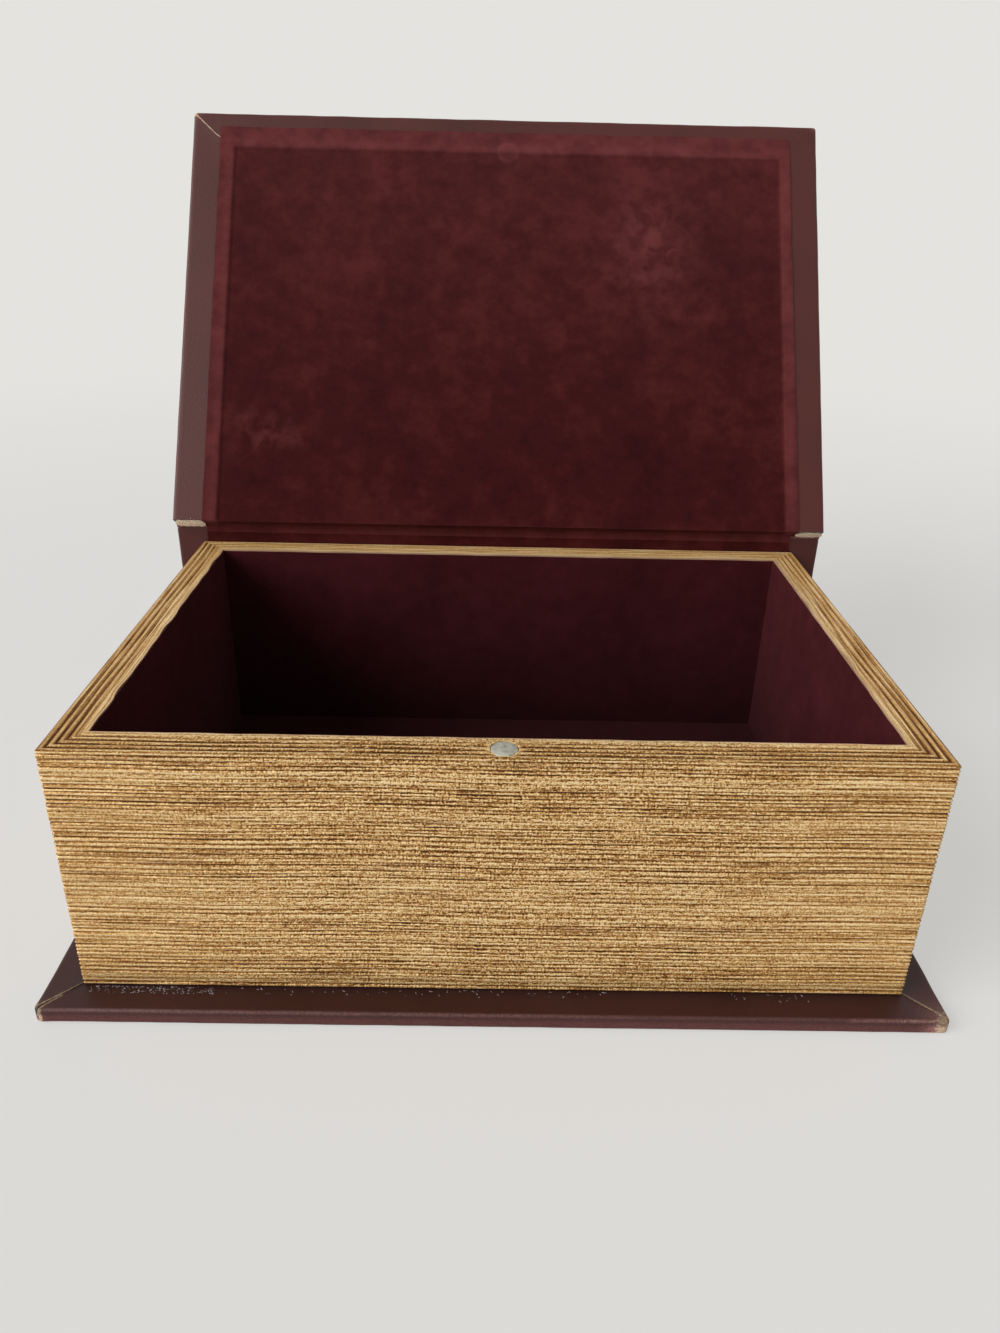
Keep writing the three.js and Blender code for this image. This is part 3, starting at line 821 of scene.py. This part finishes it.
def cover_skin(name, width, depth, closed, seams, scuffs_and_highlight, put, grime_and_shade_at=lambda p: 0):
    """Leatherette round a board that lies on its outer face, with its middle at the origin. closed
    turns it in at the back too. seams gives each corner's gape and wear, scuffs the worn lengths of the
    front arris, which carry a painted highlight too, put a point's final place, and grime_and_shade_at how
    much soiling and painted shade darken its inner face."""
    reach = min(width, depth if closed else width) / 2
    section = skin_section(reach)
    columns = skin_columns(width, depth, closed)
    half = (width / 2, depth / 2)
    made, raw, scuff_and_highlight, gap, grime_and_shade = [], [], [], [], []
    for away, level, arris in section:
        inset = max(away, CORNER_ROUNDING)
        inside = level > COVER / 2
        for kind, k, share in columns:
            centres = []
            for corner in (k % 4, (k + 1) % 4):
                sx, sy = BOARD_CORNERS[corner]
                end_inset = 0 if not closed and corner in (0, 3) else inset
                centres.append(Vector((sx * (half[0] - inset), sy * (half[1] - end_inset), 0)))
            shift, lift, tan, dark = Vector((0, 0, 0)), 0.0, 0.0, 0.0
            if kind == "side":
                facing = Vector((*SIDE_FACING[k], 0))
                point = centres[0].lerp(centres[1], share) + facing * (inset - away)
                length = (centres[1] - centres[0]).length
                for corner, distance in ((k, share * length), ((k + 1) % 4, (1 - share) * length)):
                    if corner in seams:
                        moved, raised, bare = seam_by_side(seams[corner], corner, k, distance, away, inside)
                        shift += moved
                        lift += raised
                        tan = max(tan, bare)
            else:
                before = Vector((*SIDE_FACING[(k - 1) % 4], 0))
                after = Vector((*SIDE_FACING[k % 4], 0))
                angle = share * math.pi / 2
                facing = before * math.cos(angle) + after * math.sin(angle)
                point = centres[0] + facing * (inset - away)
                if k % 4 in seams:
                    shift, lift, tan, dark = seam_at_corner(seams[k % 4], k % 4, share, away, level)
            worn = corner_wear(point, half, seams)
            # The base's front arris is worn along listed lengths and carries a painted highlight there; its
            # whole rounded front edge is lightened a little as painted highlight
            if kind == "side" and k == 1 and scuffs_and_highlight:
                rubs_and_highlights = [strength for start, end, strength in scuffs_and_highlight if start <= point.x < end]
                rub_and_highlight = rubs_and_highlights[0] if rubs_and_highlights else 0
                worn = max(worn, rub_and_highlight * arris if inside else 0, 0.14 * (away < EDGE_ROUNDING))
            rough = noise.noise(Vector((point.x, point.y, level)) / (7 * MM)) * 0.12 * MM * arris
            made.append(put(Vector((*(point + shift - facing * rough).xy, level + lift))))
            raw.append(max(tan, worn - 0.55 if worn > 0.55 else 0))
            scuff_and_highlight.append(worn + (0.25 if inside else 0.1) * arris**3)
            gap.append(dark)
            grime_and_shade.append(grime_and_shade_at(point) if inside else 0)
    faces = quads(len(section), len(columns), columns_meet=closed)
    origin, right, up = put(Vector((0, 0, 0))), put(Vector((1, 0, 0))), put(Vector((0, 1, 0)))
    outward = put(Vector((0, 0, 1))) - origin
    if (right - origin).cross(up - origin).dot(outward) < 0:
        faces = [face[::-1] for face in faces]
    skin = new_piece(name, made, [face[::-1] for face in faces], leatherette)
    for attribute, values in (("raw", raw), ("scuff_and_highlight", scuff_and_highlight), ("gap", gap), ("grime_and_shade", grime_and_shade)):
        mark(skin, attribute, values)
    joined = bmesh.new()
    joined.from_mesh(skin.data)
    bmesh.ops.remove_doubles(joined, verts=joined.verts, dist=0.004 * MM)
    joined.to_mesh(skin.data)
    joined.free()
    thicken(skin, LEATHERETTE)
    return skin


def seam_wear(gape, gape_run, raw, raw_run, worn, worn_run):
    """How a corner's seam has worn. Lengths are in mm, raw and worn are shares."""
    return {
        "gape": gape * MM,
        "gape_run": gape_run * MM,
        "raw": raw,
        "raw_run": raw_run * MM,
        "worn": worn,
        "worn_run": worn_run * MM,
    }


# Base: its front corners are worn. The left one has split open, and the right one is rubbed through.
base_low, base_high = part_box("leatherette_base")
base_width = base_high.x - base_low.x
base_depth = base_high.y - base_low.y
base_middle = Vector(((base_low.x + base_high.x) / 2, (base_low.y + base_high.y) / 2, 0))
base_seams = {
    1: seam_wear(gape=0.62, gape_run=6, raw=1.0, raw_run=40, worn=0.6, worn_run=2.5),
    2: seam_wear(gape=0.14, gape_run=3, raw=1.0, raw_run=40, worn=1.5, worn_run=5.0),
}

# Worn lengths of its front arris, which carry a painted highlight too: from, to, and how much
base_scuffs_and_highlight = [
    (-104 * MM, 8 * MM, 0.5),
    (8 * MM, 32 * MM, 0.36),
    (32 * MM, 82 * MM, 0.14),
    (82 * MM, 94 * MM, 0.85),
    (94 * MM, 105 * MM, 1.1),
]


def lip_grime_and_shade(point):
    """Soiling and glue, and painted shade, darken the lip, most of all close to the tray."""
    away = np.abs(np.array((base_middle + point).xy) - TRAY_CENTRE) - TRAY_HALF
    return 0.58 + 0.24 * math.exp(-((max(0, away.max()) / (2.2 * MM)) ** 2))


base_skin = cover_skin(
    "leatherette_base_skin",
    base_width,
    base_depth,
    False,
    base_seams,
    base_scuffs_and_highlight,
    lambda p: base_middle + p,
    lip_grime_and_shade,
)
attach(base_skin, "case")
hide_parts("leatherette_base")

# Specks of dried glue, pressed out from under the tray: brittle, half clear and greyed by dust, they
# glint faintly on the leatherette
glue, surface = finish("bone_glue_dried")
place = add(glue, "TexCoord").outputs["Object"]
CRACK = 0.3 * MM
cracks = add(glue, "TexNoise", {"Vector": place, "Scale": 1 / CRACK, "Detail": 2.0})
glue_greys = add(
    glue, "ValToRGB", {"Fac": cracks.outputs["Fac"]}, stops=[(0.4, "#3b2a2a"), (0.6, "#6d5f60")]
)
wire(surface, {"Base Color": glue_greys.outputs["Color"], "Roughness": 0.35})
draw = np.random.default_rng(5)
made, faces = [], []
TRAY_FRONT = TRAY_CENTRE[1] - TRAY_HALF[1]
SPECKS = 220
for _ in range(SPECKS):
    places = [draw.uniform(-95, -66), draw.uniform(-66, 30), draw.uniform(55, 75)]
    x = draw.choice(places, p=[0.62, 0.3, 0.08]) * MM
    y = TRAY_FRONT - (0.3 + 2.2 * draw.random() ** 1.4) * MM
    long, wide = draw.uniform(0.12, 0.38) * MM, draw.uniform(0.08, 0.17) * MM
    turn, bend = draw.uniform(-1.2, 1.2), draw.uniform(-0.15, 0.15)
    first = len(made)
    for t in np.linspace(-1, 1, 6):
        half_wide = wide * math.sqrt(1.02 - t * t)
        for across, up in ((-1, 0), (0, 1), (1, 0)):
            a, b = t * long, across * half_wide + bend * long * (1 - t * t)
            spot_x = x + a * math.cos(turn) - b * math.sin(turn)
            spot_y = y + a * math.sin(turn) + b * math.cos(turn)
            made.append((spot_x, spot_y, COVER + SEAM_LAP * 0.2 + (0.09 * up - 0.02) * MM))
    faces += [tuple(first + i for i in face) for face in quads(6, 3)]
specks = new_piece("glue_specks", made, faces, glue)
thicken(specks, 0.05 * MM, offset=0)
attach(specks, "case")

# Spine: a plain upright panel behind the tray, turned in on all four edges
spine_low, spine_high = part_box("leatherette_spine")
spine_width = spine_high.x - spine_low.x
spine_height = spine_high.z - spine_low.z
spine_skin = cover_skin(
    "leatherette_spine_skin",
    spine_width,
    spine_height,
    True,
    {},
    [],
    lambda p: Vector((p.x, spine_high.y - p.z, spine_low.z + spine_height / 2 + p.y)),
    # Its inner face is evenly darkened a little
    lambda p: 0.12,
)
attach(spine_skin, "case")
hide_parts("leatherette_spine")

# Lid: drawn where it lies when it is shut, then opened about the hinge as the frame has it. It lies
# against the rim then, with its back edge short of the spine.
hinge = frame["joints"][0]
PIVOT = Vector(hinge["pos_m"])
OPEN_ANGLE = math.radians(-hinge["range_deg"][0])
OPENED = Matrix.Translation(PIVOT) @ Matrix.Rotation(-OPEN_ANGLE, 4, "X") @ Matrix.Translation(-PIVOT)
LID_BACK = 67.875 * MM
LID_OUTER = 72.75 * MM
lid_depth = LID_BACK - base_low.y
lid_seams = {
    1: seam_wear(gape=0.1, gape_run=3, raw=0.9, raw_run=22, worn=0.95, worn_run=1.8),
    2: seam_wear(gape=0.0, gape_run=3, raw=0.5, raw_run=3, worn=0.6, worn_run=1.6),
}
NARROWER = 1.8 * MM


def lid_place(point):
    """Where a point of the shut lid lies. Its turn-ins are narrower in front and on the right."""
    x, y = point.x, point.y
    if point.z > COVER / 2:
        from_right, from_front = base_width / 2 - x, y + lid_depth / 2
        drawn_over = (8 * MM, TURN_IN, 3 * TURN_IN)
        x += NARROWER * float(np.interp(from_right, drawn_over, (0, 1, 0)))
        y -= NARROWER * float(np.interp(from_front, drawn_over, (0, 1, 0)))
    return Vector((x, (base_low.y + LID_BACK) / 2 + y, LID_OUTER - point.z))


lid_skin = cover_skin("leatherette_lid_skin", base_width, lid_depth, False, lid_seams, [], lid_place)
lid_skin.matrix_world = OPENED
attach(lid_skin, "lid")
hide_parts("leatherette_lid")

# Endpapers
# Flocked paper again, one sheet from the lid over the hinge to the spine. It is pasted over the
# turn-ins, whose edge shows through as a step, and over the magnet, which shows as a round bump.
endpaper = flocked("velvet_paper_flocked", "#3b1112", "#4b1b1b", "#300c0e", "#6c3536")
ENDPAPER = 0.35 * MM
PAPER_FACE = 68.3 * MM
PAPER_FRONT = base_low.y + 5.3 * MM
HINGE_END = 68.325 * MM
FOLD_TOP = 71.55 * MM
HALF_FRONT, WIDER_RIGHT, NARROWER_LEFT = 96.2 * MM, 1.0 * MM, 0.2 * MM

# Where the turn-ins end under it, and how high and steep the step is there
STEP, STEP_SLOPE = 0.5 * MM, 0.9 * MM
STEP_LEFT = TURN_IN - base_width / 2
STEP_RIGHT = base_width / 2 - TURN_IN + NARROWER
STEP_Y = base_low.y + TURN_IN - NARROWER
LID_MAGNET = Vector((MAGNET_CENTRE.x, MAGNET_CENTRE.y, 0))
BUMP, BUMP_RADIUS = 0.16 * MM, 3.5 * MM


def with_detail(start, end, step, places, reach, fine):
    """Even places with finer ones round some of them."""
    made = set(np.round(stretch(start, end, step), 7))
    for place in places:
        made |= set(np.round(stretch(max(start, place - reach), min(end, place + reach), fine), 7))
    ordered = sorted(made)
    kept = [ordered[0]]
    for value in ordered[1:-1]:
        if value - kept[-1] > fine * 0.6 and ordered[-1] - value > fine * 0.6:
            kept.append(value)
    return np.array([*kept, ordered[-1]])


def smooth(value):
    """Eases a value from 0 to 1 in and out, and holds it outside that range."""
    value = min(1, max(0, value))
    return value * value * (3 - 2 * value)


# Its columns are shares of its half width, closer together at the steps and the magnet
MEAN_HALF = 96.4 * MM
steps_at = (STEP_LEFT / MEAN_HALF, STEP_RIGHT / MEAN_HALF, 0.008)
sheet_x = with_detail(-1, 1, 0.022, steps_at, 0.03, 0.0045)
sheet_y = with_detail(
    PAPER_FRONT, HINGE_END - 0.3 * MM, 2 * MM, (STEP_Y, LID_MAGNET.y), 3.6 * MM, 0.45 * MM
)
made, rubbed_and_lit, blotched = [], [], []

# At the hinge it folds up over the edge of the lid's board
fold_rows = [(HINGE_END - 0.1 * MM, PAPER_FACE + 0.1 * MM), (HINGE_END, PAPER_FACE + 0.35 * MM)]
fold_rows += [(HINGE_END, level) for level in stretch(PAPER_FACE + 0.9 * MM, FOLD_TOP, 0.8 * MM)]
for y, level in [(y, PAPER_FACE) for y in sheet_y] + fold_rows:
    towards_hinge = (y - PAPER_FRONT) / (HINGE_END - PAPER_FRONT)
    for share in sheet_x:
        x = share * (HALF_FRONT + (WIDER_RIGHT if share > 0 else -NARROWER_LEFT) * towards_hinge)
        x += 0.25 * MM * noise.noise(Vector((share, y / (12 * MM), 3.1))) * abs(share) ** 8
        front = 0.3 * MM * noise.noise(Vector((x / (14 * MM), 0.5, 7.7))) if y == sheet_y[0] else 0
        inside_x = min(x - STEP_LEFT, STEP_RIGHT - x) / STEP_SLOPE
        inside_y = (y - STEP_Y) / STEP_SLOPE
        inside = smooth(min(inside_x, inside_y))
        off_magnet = (Vector((x, y, 0)) - LID_MAGNET).length
        bump = smooth((BUMP_RADIUS - off_magnet) / (0.5 * MM))
        ring = 0.25 * bump + 0.3 * math.exp(-(((off_magnet - 3.2 * MM) / (0.5 * MM)) ** 2))
        rise = 0
        if level == PAPER_FACE:
            rise = STEP * inside - BUMP * bump
            rise += 0.06 * MM * noise.noise(Vector((x, y, 0)) / (22 * MM))
        made.append((x, y + front, level + rise))

        # The nap is rubbed over the turn-ins and the magnet, and at the step, which has a painted highlight
        # too.
        # Painted sheen lightens it towards the fore-edge and the sides. Two places are crushed by handling.
        ridge = math.exp(-(((min(inside_x, inside_y) + 1.6) / 1.7) ** 2))
        band = (1 - inside) * (0.34 + 0.08 * noise.noise(Vector((x, y, 40)) / (4 * MM))) + 0.17 * ridge
        patch = math.exp(-((x - 49 * MM) / (14 * MM)) ** 2 - ((y + 27 * MM) / (22 * MM)) ** 2)
        smudge = math.exp(-((x + 78 * MM) / (15 * MM)) ** 2 - ((y - 38 * MM) / (8 * MM)) ** 2)
        # Painted sheen: lighter and greyer towards the fore-edge and the sides
        painted_sheen = 0.27 * max((1 - towards_hinge) ** 1.5, 0.8 * abs(share) ** 6 * (1 - towards_hinge**2))
        rubbed_and_lit.append(band + 0.12 * patch + 0.7 * ring + painted_sheen)
        blotched.append(patch + 0.8 * smudge)
lid_rows = len(sheet_y) + len(fold_rows)
lid_paper = new_piece("velvet_lid", made, quads(lid_rows, len(sheet_x)), endpaper)
lid_paper.data.flip_normals()
mark(lid_paper, "rubbed_and_lit", rubbed_and_lit)
mark(lid_paper, "blotched", blotched)
thicken(lid_paper, ENDPAPER)
lid_paper.matrix_world = OPENED
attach(lid_paper, "lid")
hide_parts("endpaper_lid")

# Spine part of the endpaper, which runs down behind the tray and fills the gap up to its paper
paper_low, paper_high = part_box("endpaper_spine")
SPINE_PAPER_HALF = 95.6 * MM
spine_x = stretch(-SPINE_PAPER_HALF, SPINE_PAPER_HALF, 3 * MM)
spine_z = stretch(paper_low.z, paper_high.z, 1.5 * MM)
made = []
for z in spine_z:
    for x in spine_x:
        wave = 0.03 * MM * noise.noise(Vector((x / (15 * MM), z / (8 * MM), 2)))
        made.append((x, paper_low.y - 0.04 * MM + wave, z))
spine_paper = new_piece("velvet_spine", made, quads(len(spine_z), len(spine_x)), endpaper)
thicken(spine_paper, 0.52 * MM)
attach(spine_paper, "case")
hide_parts("endpaper_spine")

# Gutter part of the endpaper, which bends with the hinge: its section from the spine up to the lid
gutter_line = [
    (paper_low.y - 0.08 * MM, paper_high.z - 0.3 * MM),
    (paper_low.y - 0.08 * MM, paper_high.z + 0.2 * MM),
    (paper_low.y - 0.1 * MM, paper_high.z + 0.8 * MM),
    (68.66 * MM, 73.0 * MM),
    (68.36 * MM, 73.7 * MM),
    (68.02 * MM, 74.35 * MM),
    (67.4 * MM, 74.75 * MM),
]
made = []
for y, z in gutter_line:
    for x in spine_x:
        made.append((x, y, z + 0.05 * MM * noise.noise(Vector((x / (9 * MM), z / MM, 5)))))
gutter = new_piece("velvet_gutter", made, quads(len(gutter_line), len(spine_x)), endpaper)
mark(gutter, "rubbed_and_lit", np.full(len(made), 0.4))
thicken(gutter, 0.2 * MM)
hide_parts("endpaper_hinge")
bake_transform(gutter)

# Hinge
# The leatherette runs on from the spine's top edge to the lid and bends along the gap between the
# boards. Its two ends have torn along the fold, so the tan paper backing frays out there.
HINGE_HALF = base_width / 2 - 0.3 * MM
HINGE_SKIN = 0.22 * MM
HINGE_ROWS = 13

# Its section is drawn flat over the shut lid and the spine's top edge, then bent as the lid opens
hinge_line = []
for i in range(HINGE_ROWS):
    share = i / (HINGE_ROWS - 1)
    y = (72.4 - 6.4 * share) * MM
    turn = smooth((70.6 * MM - y) / (2.6 * MM))
    level = LID_OUTER + HINGE_SKIN + 0.14 * MM * math.sin(math.pi * share)
    dy, dz = y - PIVOT.y, level - PIVOT.z
    angle = OPEN_ANGLE * turn
    bent_y = PIVOT.y + dy * math.cos(angle) + dz * math.sin(angle)
    bent_z = PIVOT.z - dy * math.sin(angle) + dz * math.cos(angle)
    hinge_line.append((bent_y, bent_z))
hinge_x = stretch(-HINGE_HALF, HINGE_HALF, 1.5 * MM)
made, scuff_and_highlight = [], []
for i, (y, z) in enumerate(hinge_line):
    for x in hinge_x:
        wave = 0.05 * MM * noise.noise(Vector((x / (6 * MM), i, 1)))
        made.append((x, y + wave, z + wave))
        scuff_and_highlight.append(0.4 * math.exp(-(((i - 6) / 2.5) ** 2)))
hinge_skin = new_piece("leatherette_hinge_skin", made, quads(len(hinge_line), len(hinge_x)), leatherette)
hinge_skin.data.flip_normals()
mark(hinge_skin, "scuff_and_highlight", scuff_and_highlight)
thicken(hinge_skin, HINGE_SKIN)
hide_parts("leatherette_hinge")
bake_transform(hinge_skin)

# Torn paper backing, kraft: matt pale tan fluff with loose fibres
torn, surface = finish("kraft_paper_torn")
place = add(torn, "TexCoord").outputs["Object"]
FLUFF = 0.5 * MM
fluff = add(torn, "TexNoise", {"Vector": place, "Scale": 1 / FLUFF, "Detail": 4.0})
tans = add(
    torn,
    "ValToRGB",
    {"Fac": fluff.outputs["Fac"]},
    stops=[(0.3, "#c4ab92"), (0.7, "#f3e9da"), (0.5, "#e3d3bd")],
)
relief = add(torn, "Bump", {"Height": fluff.outputs["Fac"], "Distance": 0.15 * MM, "Strength": 0.8})
wire(surface, {"Base Color": tans.outputs["Color"], "Normal": relief.outputs["Normal"], "Roughness": 0.95})

# The tear in section, in mm: it runs from the lid's edge across the gutter to the spine's
TEAR_LINE = [(66.0, 75.9), (66.7, 75.1), (67.4, 74.4), (68.05, 73.8), (68.65, 73.2), (69.15, 72.6)]
TEAR_Y, TEAR_Z = 67.7, 74.2
LOOSE_FIBRES = 60


def fibre(start, way, length, radius, seed):
    """A loose paper fibre: a thin bent three-sided tube. It gives its points and faces."""
    draw = np.random.default_rng(seed)
    bend = Vector(draw.uniform(-1, 1, 3))
    path = [start + way * length * t + bend * length * 0.35 * t * t for t in (0, 0.35, 0.7, 1)]
    points = []
    for i, p in enumerate(path):
        ahead = (path[min(i + 1, 3)] - path[max(i - 1, 0)]).normalized()
        aside = ahead.orthogonal().normalized()
        other = ahead.cross(aside)
        thin = radius * (1 - 0.22 * i)
        points += [p + (aside * math.cos(a) + other * math.sin(a)) * thin for a in (0, 2.1, 4.2)]
    return points, [*quads(4, 3, columns_meet=True), (2, 1, 0), (9, 10, 11)]


def torn_end(name, start, end, seed, breadth):
    """The torn backing at one end of the hinge. breadth is its share of the full tear's width."""
    xs = stretch(start, end, 0.35 * MM)
    made = []
    tear = [(TEAR_Y + (y - TEAR_Y) * breadth, TEAR_Z + (z - TEAR_Z) * breadth) for y, z in TEAR_LINE]
    for i, (y, z) in enumerate(tear):
        edge = abs(i - 2.5) / 2.5
        for x in xs:
            ragged = noise.noise(Vector((x / (1.1 * MM), i * 0.8, seed)))
            from_end = min(x - start, end - x) / (1.6 * MM)
            narrow = 0.7 * (1 - math.sqrt(min(1, max(0, from_end))))
            puff = 0.25 * (1 - edge**2) + 0.22 * noise.noise(Vector((x / (0.8 * MM), i, seed + 5)))
            strip_y = y + (TEAR_Y - y) * narrow - puff
            ragged_z = z + 0.35 * ragged * edge
            strip_z = ragged_z + (TEAR_Z - ragged_z) * narrow
            made.append((x, strip_y * MM, strip_z * MM))
    strip = new_piece(name, made, quads(len(tear), len(xs)), torn)
    strip.data.flip_normals()
    thicken(strip, 0.2 * MM)

    # Loose fibres stand out of it, away from its lowest row, which tucks under the hinge when shut
    draw = np.random.default_rng(seed)
    fluffy = bmesh.new()
    fluffy.from_mesh(strip.data)
    for k in range(LOOSE_FIBRES):
        y, z = tear[draw.integers(0, len(tear) - 1)]
        x = draw.uniform(start + 0.4 * MM, end - 0.4 * MM)
        way = Vector((draw.uniform(-1, 1), -0.5, draw.uniform(-0.6, 0.8) * (z > 74))).normalized()
        root = Vector((x, y * MM + 0.05 * MM, z * MM))
        points, tube = fibre(root, way, draw.uniform(0.4, 1.2) * MM, 0.05 * MM, seed * 100 + k)
        verts = [fluffy.verts.new(p) for p in points]
        for face in tube:
            fluffy.faces.new([verts[j] for j in face])
    fluffy.to_mesh(strip.data)
    fluffy.free()
    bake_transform(strip)


torn_end("torn_backing_left", -105.2 * MM, -95.6 * MM, 3, 0.95)
torn_end("torn_backing_right", 96.9 * MM, 105.5 * MM, 4, 0.62)

# Floor, light and camera
# A plain pale floor fades into an even background. The light is soft, from a window on the left.

# Floor paint, rolled: a plain matt white. Seen directly, it is evened out towards the backdrop's tone,
# and it keeps the box's shadow.
floor_paint, surface = finish("floor_white_matt")
place = add(floor_paint, "TexCoord").outputs["Object"]
wire(surface, {"Base Color": linear("#e3e2e4"), "Roughness": 0.55, "Specular IOR Level": 0.2})
distance = add(floor_paint, "VectorMath", {0: place}, operation="LENGTH")
fade = add(
    floor_paint,
    "MapRange",
    {"Value": distance.outputs["Value"], "From Min": 0.3, "From Max": 0.9},
    interpolation_type="SMOOTHSTEP",
)
plain = add(floor_paint, "Emission", {"Color": linear("#e0dfdb")})
camera_ray = add(floor_paint, "LightPath").outputs["Is Camera Ray"]
half_plain = add(floor_paint, "Math", {0: camera_ray, 1: 0.65}, operation="MULTIPLY")
lifted = add(
    floor_paint, "MixShader", {0: half_plain.outputs[0], 1: surface.outputs[0], 2: plain.outputs[0]}
)
clear = add(floor_paint, "BsdfTransparent")
mixed = add(floor_paint, "MixShader", {0: fade.outputs[0], 1: lifted.outputs[0], 2: clear.outputs[0]})
wire(floor_paint.node_tree.nodes["Material Output"], {"Surface": mixed.outputs[0]})
FLOOR_LEVEL = -0.2 * MM
floor_places = stretch(-1.0, 1.0, 0.1)
floor = new_piece(
    "floor",
    [(x, y, FLOOR_LEVEL) for y in floor_places for x in floor_places],
    quads(len(floor_places), len(floor_places)),
    floor_paint,
)

world = bpy.data.worlds.new("studio")
bpy.context.scene.world = world
world.use_nodes = True
backdrop = world.node_tree.nodes["Background"]
wire(backdrop, {"Color": linear("#f1f2f2"), "Strength": 0.4})
seen = add(world, "Background", {"Color": linear("#e4e3df"), "Strength": 1.0})
rays = add(world, "LightPath").outputs
direct = add(world, "Math", {0: rays["Is Camera Ray"], 1: rays["Is Glossy Ray"]}, operation="MAXIMUM")
through = add(world, "Math", {0: direct.outputs[0], 1: rays["Is Transmission Ray"]}, operation="MAXIMUM")
either = add(world, "MixShader", {0: through.outputs[0], 1: backdrop.outputs[0], 2: seen.outputs[0]})
wire(world.node_tree.nodes["World Output"], {"Surface": either.outputs[0]})


def lamp(name, towards, strength, spread, tint):
    """A far soft lamp: towards points from the object to it, spread is its width in degrees."""
    light = bpy.data.lights.new(name, "SUN")
    light.energy = strength
    light.angle = math.radians(spread)
    light.color = linear(tint)[:3]
    made = bpy.data.objects.new(name, light)
    made.rotation_euler = Vector(towards).to_track_quat("Z", "Y").to_euler()
    bpy.context.scene.collection.objects.link(made)


lamp("window", (-0.75, -0.42, 0.51), 3.0, 42, "#ffffff")

# The camera looks down at the open box from in front, as a hand-held one does
CAMERA_PLACE = Vector((-3.0 * MM, -242.9 * MM, 176.3 * MM))
PITCH, ROLL, YAW = math.radians(26.056), math.radians(1.352), math.radians(-0.780)
FOCAL_PIXELS, PICTURE_HEIGHT, SENSOR = 992.5, 1333, 36
level_right = Vector((math.cos(YAW), math.sin(YAW), 0))
level_ahead = Vector((-math.sin(YAW), math.cos(YAW), 0))
ahead = level_ahead * math.cos(PITCH) - Vector((0, 0, 1)) * math.sin(PITCH)
upright = level_ahead * math.sin(PITCH) + Vector((0, 0, 1)) * math.cos(PITCH)
camera_right = level_right * math.cos(ROLL) + upright * math.sin(ROLL)
camera_up = upright * math.cos(ROLL) - level_right * math.sin(ROLL)
lens = bpy.data.cameras.new("camera")
lens.sensor_width = SENSOR
lens.lens = SENSOR * FOCAL_PIXELS / PICTURE_HEIGHT
lens.clip_start = 0.01
camera = bpy.data.objects.new("camera", lens)
axes = Matrix((camera_right, camera_up, -ahead)).transposed()
camera.matrix_world = Matrix.Translation(CAMERA_PLACE) @ axes.to_4x4()
bpy.context.scene.collection.objects.link(camera)
bpy.context.scene.camera = camera
bpy.context.scene.view_settings.view_transform = "Standard"
